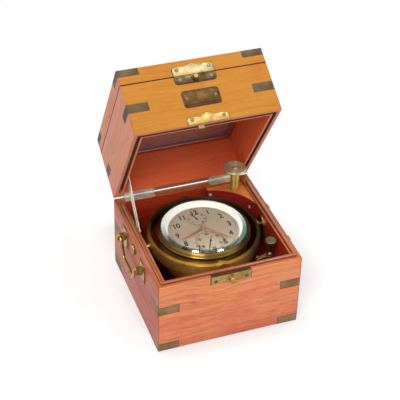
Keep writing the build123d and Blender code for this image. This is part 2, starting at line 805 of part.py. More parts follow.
# Hands: seconds and power reserve on their own arbors, hour and minute on the centre
hand_low = dial_above_pivots + play
under = plate_low - small_arbor_reach
seconds_size = (seconds_hand_length, seconds_hand_width, seconds_hand_tail, seconds_hand_hub)
seconds = hand(seconds_size, hand_low, seconds_shown * 6.0, -subdial_offset)
seconds += post(0, -subdial_offset, under, hand_low + hand_thickness, small_arbor_radius)
pieces["seconds_hand"] = on_dial(seconds)
reserve_size = (reserve_hand_length, reserve_hand_width, reserve_hand_tail, reserve_hand_hub)
reserve = hand(reserve_size, hand_low, reserve_shown_angle, subdial_offset)
reserve += post(0, subdial_offset, under, hand_low + hand_thickness, small_arbor_radius)
pieces["reserve_hand"] = on_dial(reserve)
hour_low = dial_above_pivots + hour_hand_above_dial
hour_angle = (hour_shown + minutes_shown / 60.0) * 30.0
hour_size = (hour_hand_length, hour_hand_width, hour_hand_tail, hour_hand_hub)
hour = hand(hour_size, hour_low, hour_angle, 0)
hour += post(0, 0, dial_above_pivots + play, hour_low, arbor_radius + hour_pipe_wall)
hour -= post(0, 0, dial_above_pivots - 1, hour_low + 1, arbor_radius + running_gap)
pieces["hour_hand"] = on_dial(hour)
minute_low = hour_low + hand_thickness + hand_step
minute_size = (minute_hand_length, minute_hand_width, minute_hand_tail, minute_hand_hub)
minute = hand(minute_size, minute_low, minutes_shown * 6.0, 0)
minute += post(0, 0, under, minute_low + hand_thickness + centre_nut_height, arbor_radius)
pieces["minute_hand"] = on_dial(minute)

# Corner block with a hollow front face, and the winding key that stands in it
block_top = case_height - block_below_rim
arc_x = inside - block_arc_from_wall_x
arc_y = inside - block_arc_from_wall_y
block_left = inside - block_reach
block_front = arc_y + sqrt(block_arc_radius**2 - (inside - arc_x) ** 2)
corner = block((block_left, inside), (block_front, inside), (block_top - block_height, block_top))
corner -= post(arc_x, arc_y, 0, case_height + 1, block_arc_radius)
key_x = inside - key_from_wall_x
key_y = inside - key_from_wall_y
stem_bottom = block_top - key_stem_length
corner -= post(key_x, key_y, stem_bottom - 1, block_top + 1, key_stem_radius + play)
pieces["corner_block"] = corner
neck_low = block_top + play
shank_low = neck_low + key_neck_length
head_low = shank_low + key_shank_length
head_top = head_low + key_head_thickness
shank_points = [
    (0, stem_bottom),
    (key_stem_radius, stem_bottom),
    (key_stem_radius, neck_low),
    (key_neck_radius, neck_low),
    (key_shank_radius, shank_low),
    (key_shank_radius, head_low),
    (0, head_low),
]
key_place = Pos(key_x, key_y, 0)
square = (-key_square / 2, key_square / 2)
socket = block(square, square, (stem_bottom - 1, stem_bottom + key_square_depth))
pieces["key_shank"] = key_place * (turned(shank_points) - socket)
dish_bottom = head_top - key_dish_depth
head_points = [
    (0, head_low),
    (key_head_radius - key_edge, head_low),
    (key_head_radius, head_low + key_edge),
    (key_head_radius, head_top - key_edge),
    (key_head_radius - key_edge, head_top),
    (key_head_radius - key_rim_width, head_top),
    (key_centre_radius, dish_bottom),
    (key_centre_radius, dish_bottom + key_centre_rise),
    (0, dish_bottom + key_centre_rise),
]
pieces["key_head"] = key_place * turned(head_points)

# Gimbal lock: a bracket on the right wall, an arm, and the knobbed spindle that turns it
lock_knob_top = gimbal_height + lock_knob_above_pivots
lock_arm_top = gimbal_height - lock_arm_below_pivots
lock_x = inside - lock_from_wall
lock_y = gimbal_behind_middle - lock_before_pivots
arm_low = lock_arm_top - lock_arm_thickness
shelf_top = arm_low - play
shelf_low = shelf_top - lock_bracket_thickness
half = lock_bracket_width / 2
shelf_y = (lock_y - half, lock_y + half)
shelf_back = (inside - lock_back_thickness, inside)
lock_bracket = block(shelf_back, shelf_y, (shelf_top - lock_bracket_drop, shelf_top))
lock_bracket += block((lock_x, inside), shelf_y, (shelf_low, shelf_top))
lock_bracket += post(lock_x, lock_y, shelf_low, shelf_top, half)
lock_bracket -= post(lock_x, lock_y, shelf_low - 1, shelf_top + 1, lock_spindle_radius + running_gap)
pieces["lock_bracket"] = lock_bracket
aim = radians(lock_rest_angle)
tip_x = lock_x + lock_arm_length * cos(aim)
tip_y = lock_y + lock_arm_length * sin(aim)
arm = Pos(lock_arm_length / 2, 0, 0) * Box(lock_arm_length, lock_arm_width, lock_arm_thickness)
arm = arm.rotate(Axis.Z, lock_rest_angle)
arm = Pos(lock_x, lock_y, arm_low + lock_arm_thickness / 2) * arm
arm += post(lock_x, lock_y, arm_low, lock_arm_top, lock_nut_radius + lock_hub_width)
arm += post(tip_x, tip_y, arm_low, lock_arm_top, lock_arm_width / 2)
pad_top = gimbal_height - half_ring - lock_pad_below_ring
arm += post(tip_x, tip_y, lock_arm_top - 1, pad_top, lock_pad_radius)
arm -= post(lock_x, lock_y, arm_low - 1, lock_arm_top + 1, lock_spindle_radius)
pieces["lock_arm"] = arm
knob_low = lock_knob_top - lock_knob_thickness
collar_top = shelf_low - play
nut_top = lock_arm_top + lock_collar_height
spindle_points = [
    (0, collar_top - lock_collar_height),
    (lock_collar_radius, collar_top - lock_collar_height),
    (lock_collar_radius, collar_top),
    (lock_spindle_radius, collar_top),
    (lock_spindle_radius, lock_arm_top),
    (lock_nut_radius, lock_arm_top),
    (lock_nut_radius, nut_top),
    (lock_spindle_radius, nut_top + lock_taper),
    (lock_spindle_radius, knob_low - lock_taper),
    (lock_spindle_radius + lock_taper, knob_low),
    (lock_knob_radius, knob_low),
    (lock_knob_radius, lock_knob_top - lock_knob_edge),
    (lock_knob_radius - lock_knob_edge, lock_knob_top),
    (0, lock_knob_top),
]
pieces["lock_spindle"] = Pos(lock_x, lock_y, 0) * turned(spindle_points)

# Lid stay: a slotted plate pivoted in the middle tier that slides on a pin in the case
pin_y = hinge_y - stay_pin_from_hinge
pin_z = hinge_z - stay_pin_below_hinge
stay_radius = hypot(stay_pin_from_hinge, stay_pin_below_hinge)
pin_angle = degrees(atan2(stay_pin_below_hinge, stay_pin_from_hinge))
top_angle = radians(stay_shut_angle - pin_angle)
top_y = hinge_y - stay_radius * cos(top_angle)
top_z = hinge_z + stay_radius * sin(top_angle)
open_span = 2 * stay_radius * sin(radians(stay_shut_angle + lid_open_angle) / 2)
shut_span = 2 * stay_radius * sin(radians(stay_shut_angle) / 2)
stay_x = (-inside + stay_from_wall, -inside + stay_from_wall + stay_thickness)


def stay_stud(y, z):
    """A stud in the left wall with a washer on each side of the stay."""
    washer_low = stay_x[1] + play
    stud = bar_x(y, z, -inside, washer_low, stay_pin_radius)
    stud += bar_x(y, z, -inside, stay_x[0] - play, stay_washer_radius)
    stud += bar_x(y, z, washer_low, washer_low + stay_washer_thickness, stay_washer_radius)
    return stud


def stay_drawn():
    """The plate along Y from its pivot at the origin, then turned to reach the pin."""
    half = stay_width / 2
    slot_half = stay_pin_radius + play
    end = open_span
    plate = block(stay_x, (0, end), (-half, half))
    plate += bar_x(0, 0, stay_x[0], stay_x[1], half) + bar_x(end, 0, stay_x[0], stay_x[1], half)
    plate -= bar_x(0, 0, stay_x[0] - 1, stay_x[1] + 1, stay_pin_radius + running_gap)
    wide = (stay_x[0] - 1, stay_x[1] + 1)
    plate -= block(wide, (shut_span, end), (-slot_half, slot_half))
    plate -= bar_x(end, 0, wide[0], wide[1], slot_half)
    plate -= bar_x(shut_span, 0, wide[0], wide[1], slot_half)
    return plate


pieces["stay_pin"] = stay_stud(pin_y, pin_z)
pieces["stay_pivot"] = swung_open(stay_stud(top_y, top_z))
open_angle = radians(lid_open_angle + stay_shut_angle - pin_angle)
open_top_y = hinge_y - stay_radius * cos(open_angle)
open_top_z = hinge_z + stay_radius * sin(open_angle)
stay_aim = degrees(atan2(pin_z - open_top_z, pin_y - open_top_y))
pieces["stay_arm"] = Pos(0, open_top_y, open_top_z) * stay_drawn().rotate(Axis.X, stay_aim)

# Middle tier: mitred boards, groove, straps, glazing, hook plate, nameplate and keeper
middle = mitred_walls(lid_bottom, middle_top)
middle_strap_low = case_height + middle_strap_rise
middle_straps = corner_straps(middle_strap_low, middle_strap_low + strap_height)
top_hinge = butt_hinge(top_hinge_z, middle_top, top_bottom, top_hinge_length)
top_hinge_lower, top_hinge_upper, top_hinge_pins, top_hinge_room = top_hinge
hook_plate = ogee_plate(lid_bottom, hook_plate_shoulder, hook_plate_peak, latch_plate_thickness)
hook_x = (hook_middle - hook_width / 2, hook_middle + hook_width / 2)
hook_y0 = slot_y[0] + hook_slot_play
hook_y1 = hook_y0 + hook_thickness
hook_low = case_height - hook_drop
hook_root = lid_bottom + hook_root_height
hook_tab = block(hook_x, (hook_y0, hook_y1), (hook_low, hook_root))
hook_nib = block(hook_x, (hook_y0, hook_y1 + hook_nib_reach), (hook_low, hook_low + hook_thickness))
hook_arm = block(hook_x, (-outside, hook_y1), (hook_root - hook_arm_height, hook_root))
hook_plate = hook_plate + hook_arm + hook_tab + hook_nib
keeper_z = middle_top - keeper_button_drop
keeper = block((-latch_half_width, latch_half_width), plate_y, (middle_top - keeper_height, middle_top))
lower_corners = keeper.edges().filter_by(Axis.Y).group_by(Axis.Z)[0]
keeper = fillet(lower_corners, plate_corner) + button_collar(keeper_z)
keeper_bore = bar_y(0, keeper_z, -outside - button_length, -outside + 1, button_radius + running_gap)
keeper = keeper - keeper_bore
keeper_room = button_hole(keeper_z, button_depth)
name_z = case_height + nameplate_rise
nameplate = Box(nameplate_width, nameplate_thickness, nameplate_height)
nameplate = Pos(0, -outside - nameplate_thickness / 2, name_z) * nameplate
nameplate = fillet(nameplate.edges().filter_by(Axis.Y), nameplate_corner)
middle_cuts = middle_straps + hinge_room + top_hinge_room + [groove, hook_tab, hook_arm, keeper_room]
middle_walls = cut_from(middle, middle_cuts)
bead_low = glass_pane_height - bead_height
pane_top = glass_pane_height + pane_thickness


def mitred_bead(low, high):
    """One glazing bead along the inner face of the front board, with mitred ends."""
    inner = inside - bead_width
    outline = [(-inside, -inside), (inside, -inside), (inner, -inner), (-inner, -inner)]
    return Pos(0, 0, low) * extrude(flat(outline), high - low)


bead = mitred_bead(bead_low, glass_pane_height)
round_edge = bead.edges().filter_by(Axis.X).group_by(Axis.Z)[0].sort_by(Axis.Y)[-1]
bead = fillet(round_edge, bead_round)
pieces["middle_walls"] = [swung_open(board) for board in middle_walls]
pieces["middle_straps"] = [swung_open(strap) for strap in middle_straps]
pieces["glazing_beads"] = [swung_open(piece) for piece in on_four_sides(bead)]
pane_half = inside - play
pane = block((-pane_half, pane_half), (-pane_half, pane_half), (glass_pane_height, pane_top))
pieces["window_pane"] = swung_open(pane)
upper_bead = mitred_bead(pane_top, pane_top + fillet_height)
pieces["pane_fillets"] = [swung_open(piece) for piece in on_four_sides(upper_bead)]
pieces["hook_plate"] = swung_open(hook_plate)
pieces["keeper_plate"] = swung_open(keeper)
pieces["keeper_button"] = swung_open(push_button(keeper_z))
pieces["nameplate"] = swung_open(nameplate)
pieces["hinge_leaves_case"] = hinge_lower
pieces["hinge_pins"] = hinge_pins
pieces["hinge_leaves_middle"] = [swung_open(leaf) for leaf in hinge_upper]
pieces["top_hinge_lower_leaves"] = [swung_open(leaf) for leaf in top_hinge_lower]
pieces["top_hinge_pins"] = [swung_open(pin) for pin in top_hinge_pins]

# Top lid: mitred rails, panel let in from above, straps and the crested plate
top_strap_low = middle_top + top_strap_rise
top_straps = corner_straps(top_strap_low, box_top)
top_rails = cut_from(mitred_walls(top_bottom, box_top), top_straps + top_hinge_room)
top_plate = ogee_plate(top_bottom, top_plate_shoulder, top_plate_peak, latch_plate_thickness)
pieces["top_walls"] = [swung_open(rail) for rail in top_rails]
pieces["top_straps"] = [swung_open(strap) for strap in top_straps]
top_panel = block(across, across, (box_top - top_panel_thickness, box_top))
pieces["top_panel"] = swung_open(top_panel)
pieces["top_latch_plate"] = swung_open(top_plate)
pieces["top_hinge_upper_leaves"] = [swung_open(leaf) for leaf in top_hinge_upper]

for node, shape in pieces.items():
    shapes = shape if isinstance(shape, list) else [shape]
    solids = [solid for item in shapes for solid in item.solids()]
    whole = Compound(children=solids) if len(solids) > 1 else solids[0]
    export_step(whole, f"parts/{node}.step")

print("nodes", len(pieces))
print("lid hinge", hinge_y, hinge_z, "top hinge", top_hinge_z)
print("stay top open", open_top_y, open_top_z, "pin", pin_y, pin_z, "spans", open_span, shut_span)
print("ring", ring_radius, "inside", inside, "outside", outside, "bowl bottom", gimbal_height + bottom)
print("lock", lock_x, lock_y, "key", key_x, key_y, head_top, "handle axis", handle_axis_out + outside)
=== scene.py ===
import json
import math

import bmesh
import bpy
from mathutils import Euler, Matrix, Vector


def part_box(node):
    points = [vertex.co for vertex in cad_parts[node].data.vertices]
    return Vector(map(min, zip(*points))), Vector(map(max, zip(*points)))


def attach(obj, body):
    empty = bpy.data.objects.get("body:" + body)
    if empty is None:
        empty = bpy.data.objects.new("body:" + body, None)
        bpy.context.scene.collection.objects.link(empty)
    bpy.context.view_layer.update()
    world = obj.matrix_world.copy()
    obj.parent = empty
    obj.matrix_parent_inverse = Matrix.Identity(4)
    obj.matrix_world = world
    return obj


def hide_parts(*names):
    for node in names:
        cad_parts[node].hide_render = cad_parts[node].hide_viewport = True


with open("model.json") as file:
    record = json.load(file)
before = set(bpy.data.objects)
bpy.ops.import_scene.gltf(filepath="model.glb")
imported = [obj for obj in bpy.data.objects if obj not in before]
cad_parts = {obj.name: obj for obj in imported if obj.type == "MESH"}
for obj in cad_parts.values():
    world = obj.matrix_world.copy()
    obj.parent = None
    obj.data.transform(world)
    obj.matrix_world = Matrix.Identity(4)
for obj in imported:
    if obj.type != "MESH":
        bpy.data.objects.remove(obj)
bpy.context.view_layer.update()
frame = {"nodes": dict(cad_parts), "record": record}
scene = bpy.context.scene
scene.view_settings.view_transform = "Standard"


# Camera
# It stands in front and to the left of the case and looks down into the open lid, as in
# the photograph, with a long lens and no shift.
def put(name, data):
    """An object that shows some data, linked into the scene."""
    thing = bpy.data.objects.new(name, data)
    scene.collection.objects.link(thing)
    return thing


camera_data = bpy.data.cameras.new("camera")
camera_data.lens = 106.4
camera_data.sensor_width = 36.0
camera_data.clip_end = 20.0
camera = put("camera", camera_data)
eye = Vector((-0.43389, -1.11939, 1.05332))
heading, dip, roll = (math.radians(angle) for angle in (-20.81, 36.943, 1.722))
turns = ((0, 0, heading), (math.pi / 2 - dip, 0, 0), (0, 0, roll))
turn, tilt, level = (Euler(angles).to_matrix() for angles in turns)
camera.matrix_world = Matrix.Translation(eye) @ (turn @ tilt @ level).to_4x4()
scene.camera = camera


# Floor and light
# A pale seamless floor that keeps the shadow of the case, in a pale room. A large soft light
# stands over the front left, a weaker one on the right and one above the back left. Two
# small ones show as the bright patches on the bevel of the bowl's glass.
def add(tree, kind, values=None, **settings):
    """Adds a node to a tree, sets it up, and fills or links its inputs."""
    node = tree.nodes.new(kind)
    for key, value in settings.items():
        setattr(node, key, value)
    for key, value in (values or {}).items():
        if isinstance(value, bpy.types.NodeSocket):
            tree.links.new(value, node.inputs[key])
        else:
            node.inputs[key].default_value = value
    return node


def calc(tree, operation, *values):
    """A Math node's result."""
    return add(tree, "ShaderNodeMath", dict(enumerate(values)), operation=operation).outputs[0]


def ramp(tree, value, low, high, start=0.0, end=1.0):
    """A value that goes from start to end while another goes from low to high."""
    limits = {0: value, 1: low, 2: high, 3: start, 4: end}
    return add(tree, "ShaderNodeMapRange", limits).outputs[0]


def blend(tree, share, first, second):
    """Two shader nodes mixed by a share."""
    values = {0: share, 1: first.outputs[0], 2: second.outputs[0]}
    return add(tree, "ShaderNodeMixShader", values).outputs[0]


def seen_directly(tree):
    """One for camera, mirror and glass rays, zero for the light that falls on things."""
    path = add(tree, "ShaderNodeLightPath").outputs
    direct = calc(tree, "MAXIMUM", path["Is Camera Ray"], path["Is Glossy Ray"])
    return calc(tree, "MAXIMUM", direct, path["Is Transmission Ray"])


def new_material(name):
    """A material with an empty node tree, and that tree."""
    material = bpy.data.materials.new(name)
    material.use_nodes = True
    material.node_tree.nodes.clear()
    return material, material.node_tree


white = (1, 1, 1, 1)
room = bpy.data.worlds.new("pale room")
scene.world = room
room.use_nodes = True
air = room.node_tree
air.nodes.clear()
lit = add(air, "ShaderNodeBackground", {"Color": white, "Strength": 0.6})
shown = add(air, "ShaderNodeBackground", {"Color": white, "Strength": 1.0})
add(air, "ShaderNodeOutputWorld", {0: blend(air, seen_directly(air), lit, shown)})

pale, tree = new_material("pale floor")
matt = add(tree, "ShaderNodeBsdfDiffuse", {"Color": (0.84, 0.84, 0.84, 1)})
glow = add(tree, "ShaderNodeEmission", {"Color": white, "Strength": 1.0})
behind_case = (0, 0.15, 0)
spot = add(tree, "ShaderNodeTexCoord").outputs["Object"]
apart = add(tree, "ShaderNodeVectorMath", {0: spot, 1: behind_case}, operation="DISTANCE")
fade = ramp(tree, apart.outputs["Value"], 0.2, 0.45, 0.25, 1.0)
share = calc(tree, "MULTIPLY", seen_directly(tree), fade)
add(tree, "ShaderNodeOutputMaterial", {0: blend(tree, share, matt, glow)})
reach = 6.0
floor_mesh = bpy.data.meshes.new("floor")
floor_corners = [(-reach, -reach, 0), (reach, -reach, 0), (reach, reach, 0), (-reach, reach, 0)]
floor_mesh.from_pydata(floor_corners, [], [(0, 1, 2, 3)])
floor_mesh.materials.append(pale)
floor = put("floor", floor_mesh)


def soft_light(name, place, aim, size, power):
    """A rectangular area light that faces a point."""
    data = bpy.data.lights.new(name, "AREA")
    data.shape = "RECTANGLE"
    data.size, data.size_y = size
    data.energy = power
    lamp = put(name, data)
    lamp.location = place
    lamp.rotation_euler = (Vector(aim) - Vector(place)).to_track_quat("-Z", "Y").to_euler()


def level_way(degrees):
    """The level direction at an angle, counted from the right towards the back."""
    angle = math.radians(degrees)
    return Vector((math.cos(angle), math.sin(angle), 0))


bowl_axis = (0.0, 0.0055)
bevel_radius, bevel_height, bevel_tilt = 0.0519, 0.1063, math.radians(22.2)
for number, angle in enumerate((-121.0, -86.0)):
    out = level_way(angle)
    spot = Vector((*bowl_axis, bevel_height)) + out * bevel_radius
    slope = out * math.sin(bevel_tilt) + Vector((0, 0, math.cos(bevel_tilt)))
    sight = (eye - spot).normalized()
    mirrored = 2 * sight.dot(slope) * slope - sight
    soft_light(f"window {number}", spot + mirrored * 1.3, spot, size=(0.24, 0.13), power=3.0)

aim = (0, 0, 0.1)
soft_light("key light", (-0.9, -1.3, 1.9), aim, size=(1.0, 1.0), power=26.0)
soft_light("fill light", (1.5, -1.2, 1.1), aim, size=(1.0, 1.2), power=9.0)
soft_light("top light", (-0.8, 0.6, 2.1), aim, size=(1.2, 1.2), power=12.0)


# Case boards
# Mitred mahogany boards, varnished outside and polished a deep red inside. The grain runs
# along each board, so it turns at the mitres, and the corners are worn dark.
def tint(code):
    """A colour from its usual six-figure code."""
    parts = [int(code[start : start + 2], 16) / 255 for start in (1, 3, 5)]
    linear = [p / 12.92 if p <= 0.04045 else ((p + 0.055) / 1.055) ** 2.4 for p in parts]
    return (*linear, 1.0)


def new_group(name, inputs, outputs):
    """An empty shader node group, its input sockets and its output node."""
    group = bpy.data.node_groups.new(name, "ShaderNodeTree")
    for label, kind in inputs:
        group.interface.new_socket(label, in_out="INPUT", socket_type=kind)
    for label in outputs:
        group.interface.new_socket(label, in_out="OUTPUT", socket_type=FLOAT)
    given = group.nodes.new("NodeGroupInput").outputs
    return group, given, group.nodes.new("NodeGroupOutput")


def vector_calc(tree, operation, *values):
    """A Vector Math node's result."""
    node = add(tree, "ShaderNodeVectorMath", dict(enumerate(values)), operation=operation)
    return node.outputs[0]


def split(tree, vector):
    """The three parts of a vector."""
    return add(tree, "ShaderNodeSeparateXYZ", {0: vector}).outputs


def joined(tree, x=0.0, y=0.0, z=0.0):
    """A vector of three parts."""
    return add(tree, "ShaderNodeCombineXYZ", {0: x, 1: y, 2: z}).outputs[0]


def noise(tree, vector, scale, detail=2.0, roughness=0.5):
    """A cloudy pattern over some coordinates."""
    values = {"Vector": vector, "Scale": scale, "Detail": detail, "Roughness": roughness}
    return add(tree, "ShaderNodeTexNoise", values).outputs["Fac"]


def near(tree, value, centre, margin):
    """One where a value is within a margin of another, zero elsewhere."""
    apart = calc(tree, "ABSOLUTE", calc(tree, "SUBTRACT", value, centre))
    return calc(tree, "LESS_THAN", apart, margin)


VECTOR, FLOAT = "NodeSocketVector", "NodeSocketFloat"
inside, outside, rim = 0.083, 0.095, 0.108
tongue_middle, tongue_end = 0.088, 0.0762
inner_skin, outer_skin, seam_reach = 0.0004, 0.0006, 0.0008
groove_reach, groove_depth = 0.0024, 0.003
arris_start, arris_end = outside - 0.0016, outside - 0.0004

controls = [("Vector", VECTOR), ("Coarseness", FLOAT), ("Seam height", FLOAT), ("Mitred", FLOAT)]
labels = "Streaks Bands Flecks Stain Inner Front Side Seam Groove Arris".split()
grain, given, grain_out = new_group("Board grain", controls, labels)
x, y, z = split(grain, given["Vector"])
far_x, far_y = calc(grain, "ABSOLUTE", x), calc(grain, "ABSOLUTE", y)
on_side = calc(grain, "MULTIPLY", calc(grain, "GREATER_THAN", far_x, far_y), given["Mitred"])
side_lie = joined(grain, calc(grain, "ADD", y, 0.31), x, calc(grain, "ADD", z, 0.17))
lies = {0: on_side, 4: given["Vector"], 5: side_lie}
lie = add(grain, "ShaderNodeMix", lies, data_type="VECTOR").outputs[1]
wander = add(grain, "ShaderNodeTexNoise", {"Vector": lie, "Scale": 14.0}).outputs["Color"]
drift = vector_calc(grain, "MULTIPLY", wander, (0.0, 0.012, 0.012))
bent = vector_calc(grain, "ADD", lie, drift)
masks = {}
patterns = (
    ("Streaks", (9.0, 260.0, 420.0), 4.0, 0.35, 0.65),
    ("Bands", (3.0, 40.0, 48.0), 2.0, 0.3, 0.7),
    ("Flecks", (75.0, 900.0, 900.0), 1.0, 0.60, 0.74),
)
for label, stretch, detail, low, high in patterns:
    stretched = vector_calc(grain, "MULTIPLY", bent, stretch)
    masks[label] = ramp(grain, noise(grain, stretched, given["Coarseness"], detail), low, high)
handled = noise(grain, bent, 26.0, 3.0)
# The mottle adds random darker patches, and the boards darken towards the bottom.
lower = ramp(grain, z, 0.11, 0.0, -0.16, 0.1)
masks["Stain"] = ramp(grain, calc(grain, "ADD", handled, lower), 0.42, 0.66)
far = calc(grain, "MAXIMUM", far_x, far_y)
masks["Inner"] = calc(grain, "LESS_THAN", far, inside + inner_skin)
masks["Front"] = calc(grain, "LESS_THAN", y, outer_skin - outside)
masks["Side"] = calc(grain, "GREATER_THAN", far_x, outside - outer_skin)
outer = calc(grain, "GREATER_THAN", far, outside - seam_reach)
at_seam = near(grain, z, given["Seam height"], seam_reach)
masks["Seam"] = calc(grain, "MULTIPLY", at_seam, outer)
# Painted shade: a dark line in the groove under the lid and along the foot of the tongue.
by_tongue = near(grain, far, tongue_middle, groove_reach)
at_groove = calc(grain, "MULTIPLY", by_tongue, near(grain, z, rim, groove_depth))
masks["Groove"] = calc(grain, "MULTIPLY", at_groove, calc(grain, "LESS_THAN", y, tongue_end))
at_corner = ramp(grain, calc(grain, "MINIMUM", far_x, far_y), arris_start, arris_end)
worn = calc(grain, "MULTIPLY", at_corner, ramp(grain, handled, 0.35, 0.65, 0.25, 1.0))
masks["Arris"] = calc(grain, "MULTIPLY", worn, outer)
for label, mask in masks.items():
    grain.links.new(mask, grain_out.inputs[label])


def mixed(tree, how, share, first, second):
    """Two colours mixed, by a share that is a number or a socket."""
    values = {0: share, 6: first, 7: second}
    return add(tree, "ShaderNodeMix", values, data_type="RGBA", blend_type=how).outputs[2]


def bump(tree, height, strength, distance):
    """The surface's direction, roughened by a height."""
    values = {"Height": height, "Strength": strength, "Distance": distance}
    return add(tree, "ShaderNodeBump", values).outputs[0]


def surface(tree, values):
    """Ends a material's tree in a Principled shader with some values."""
    shader = add(tree, "ShaderNodeBsdfPrincipled", values)
    add(tree, "ShaderNodeOutputMaterial", {0: shader.outputs[0]})


open_angle = math.radians(59.0)
hinge = Vector((0, 0.0962, 0.10615))
swing_open = Matrix.Rotation(-open_angle, 4, "X")
lid_swing = Matrix.Translation(hinge) @ swing_open @ Matrix.Translation(-hinge)


def place_in(tree, lid=False):
    """Object coordinates, swung back to the shut box for a piece of the open lid."""
    coordinates = add(tree, "ShaderNodeTexCoord").outputs["Object"]
    if not lid:
        return coordinates
    shut = (open_angle, 0, 0)
    offset = hinge - Euler(shut).to_matrix() @ hinge
    values = {"Vector": coordinates, "Location": offset, "Rotation": shut}
    return add(tree, "ShaderNodeMapping", values).outputs[0]


no_seam = -1.0


def varnished_wood(
    name, colours, lid=False, coarseness=1.0, gloss=0.35, seam=no_seam,
    coat=0.15, figure=1.0, mitred=1.0, shine=0.3, groove_shade=0.0,
):
    """Varnished wood with a colour each for the front, sides, edges and inner faces; the front
    and side colours hold painted light.
    """
    material, tree = new_material(name)
    values = {
        "Vector": place_in(tree, lid),
        "Coarseness": coarseness,
        "Seam height": seam,
        "Mitred": mitred,
    }
    board = add(tree, "ShaderNodeGroup", values, node_tree=grain).outputs
    front, side, colour, inner = (tint(code) for code in colours)
    for label, face in (("Front", front), ("Side", side), ("Inner", inner)):
        colour = mixed(tree, "MIX", board[label], colour, face)
    shades = (
        ("Bands", 0.5 * figure, (0.86, 0.66, 0.62, 1)),
        ("Stain", 0.9, (0.93, 0.72, 0.80, 1)),
        ("Streaks", 0.5 * figure, (0.70, 0.58, 0.50, 1)),
        ("Flecks", 0.4 * figure, (0.42, 0.26, 0.20, 1)),
    )
    for label, strength, shade in shades:
        share = calc(tree, "MULTIPLY", board[label], strength)
        colour = mixed(tree, "MULTIPLY", share, colour, shade)
    lines = (("Seam", 1.0, "#3a1712"), ("Groove", groove_shade, "#2c0f0a"), ("Arris", 0.5, "#4a1d12"))
    for label, strength, dark in lines:
        share = calc(tree, "MULTIPLY", board[label], strength)
        colour = mixed(tree, "MIX", share, colour, tint(dark))
    relief = calc(tree, "MULTIPLY_ADD", board["Flecks"], -1.0, board["Streaks"])
    surface(tree, {
        "Base Color": colour,
        "Roughness": calc(tree, "MULTIPLY_ADD", board["Streaks"], 0.12, gloss),
        "Normal": bump(tree, relief, 0.12, 0.0002),
        "Specular IOR Level": shine,
        "Coat Weight": coat,
        "Coat Roughness": 0.2,
    })
    return material


def fit(piece, material, body):
    """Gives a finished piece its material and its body."""
    piece.data.materials.clear()
    piece.data.materials.append(material)
    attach(piece, body)


def eased(name, material, width=0.0003):
    """A merged copy of a CAD node with its edges eased, which stands for that node."""
    flat, sharp, smooth = (math.radians(angle) for angle in (0.4, 38.0, 24.0))
    mesh = frame["nodes"][name].data.copy()
    build = bmesh.new()
    build.from_mesh(mesh)
    bmesh.ops.remove_doubles(build, verts=build.verts, dist=2e-6)
    bmesh.ops.dissolve_limit(build, angle_limit=flat, verts=build.verts, edges=build.edges)
    if width:
        closed = [edge for edge in build.edges if len(edge.link_faces) == 2]
        edges = [edge for edge in closed if edge.calc_face_angle(0) > sharp]
        how = {"segments": 2, "profile": 0.5, "affect": "EDGES", "clamp_overlap": True}
        bmesh.ops.bevel(build, geom=edges, offset=width, **how)
    bmesh.ops.triangulate(build, faces=[face for face in build.faces if len(face.verts) > 4])
    build.to_mesh(mesh)
    build.free()
    mesh.shade_smooth()
    mesh.set_sharp_from_angle(angle=smooth)
    piece = put(name + "_eased", mesh)
    bodies = frame["record"]["behaviour"]["bodies"]
    fit(piece, material, next(body for body in bodies if name in bodies[body]))
    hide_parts(name)
    return piece


# Painted light: the front is lighter and more orange than the sides, for the light that falls on
# it.
case_colours_painted_lit = ("#dc8a59", "#b05534", "#b47036", "#b03a1c")
floor_colours = ("#5a1a10", "#5a1a10", "#5a1a10", "#4a150d")
case_wood = varnished_wood("case mahogany", case_colours_painted_lit, gloss=0.4, figure=1.5, groove_shade=0.8)
floor_wood = varnished_wood("case floor mahogany", floor_colours, mitred=0.0)
tongue_wood = varnished_wood("tongue mahogany", ("#a0593a",) * 4, gloss=0.2, coat=1.0)
eased("case_walls", case_wood)
eased("case_floor", floor_wood, width=0)
eased("rim_tongue", tongue_wood, width=0.0004)


# Baize
# A sheet of dark green felt, glued under the case to spare the table. It shows as a thin
# dark line along the foot.
def specked(name, shades, scale, rough, detail=2.0, metal=0.0, nap=0.0, patches=None):
    """A dull finish in two shades that vary in fine specks, and perhaps in large patches."""
    material, tree = new_material(name)
    place = place_in(tree)
    specks = noise(tree, place, scale, detail)
    colour = mixed(tree, "MIX", specks, *(tint(code) for code in shades))
    if patches:
        patch_scale, shade = patches
        colour = mixed(tree, "MULTIPLY", noise(tree, place, patch_scale, 3.0), colour, shade)
    values = {"Base Color": colour, "Metallic": metal, "Roughness": rough}
    if nap:
        values["Normal"] = bump(tree, specks, nap, 0.0003)
    surface(tree, values)
    return material


baize = specked("green baize", ("#0a100a", "#182a1b"), 2600.0, 0.95, detail=3.0, nap=0.5)
eased("base_baize", baize, width=0)

# Brass fittings
# Corner straps, latch plates, nameplate and hinges, sawn from rolled brass or nickel silver
# and screwed on. Each finish has its own colours, clouded by tarnish and finely scratched,
# and a turned piece also shows the rings of the lathe.
controls = [("Vector", VECTOR), ("Cloud size", FLOAT), ("Scratch size", FLOAT)]
wear, given, wear_out = new_group("Brass wear", controls, ["Tarnish", "Scratches"])
clouds = noise(wear, given["Vector"], given["Cloud size"], 5.0, 0.6)
combed = vector_calc(wear, "MULTIPLY", given["Vector"], (0.08, 1.0, 1.0))
scratches = noise(wear, combed, given["Scratch size"])
wear.links.new(ramp(wear, clouds, 0.38, 0.66), wear_out.inputs["Tarnish"])
wear.links.new(scratches, wear_out.inputs["Scratches"])


def about_axis(tree, place, axis):
    """Coordinates about an upright axis, and the distance from it."""
    local = vector_calc(tree, "ADD", place, (-axis[0], -axis[1], 0))
    x, y = split(tree, local)[:2]
    squares = calc(tree, "ADD", calc(tree, "MULTIPLY", x, x), calc(tree, "MULTIPLY", y, y))
    return local, calc(tree, "SQRT", squares)


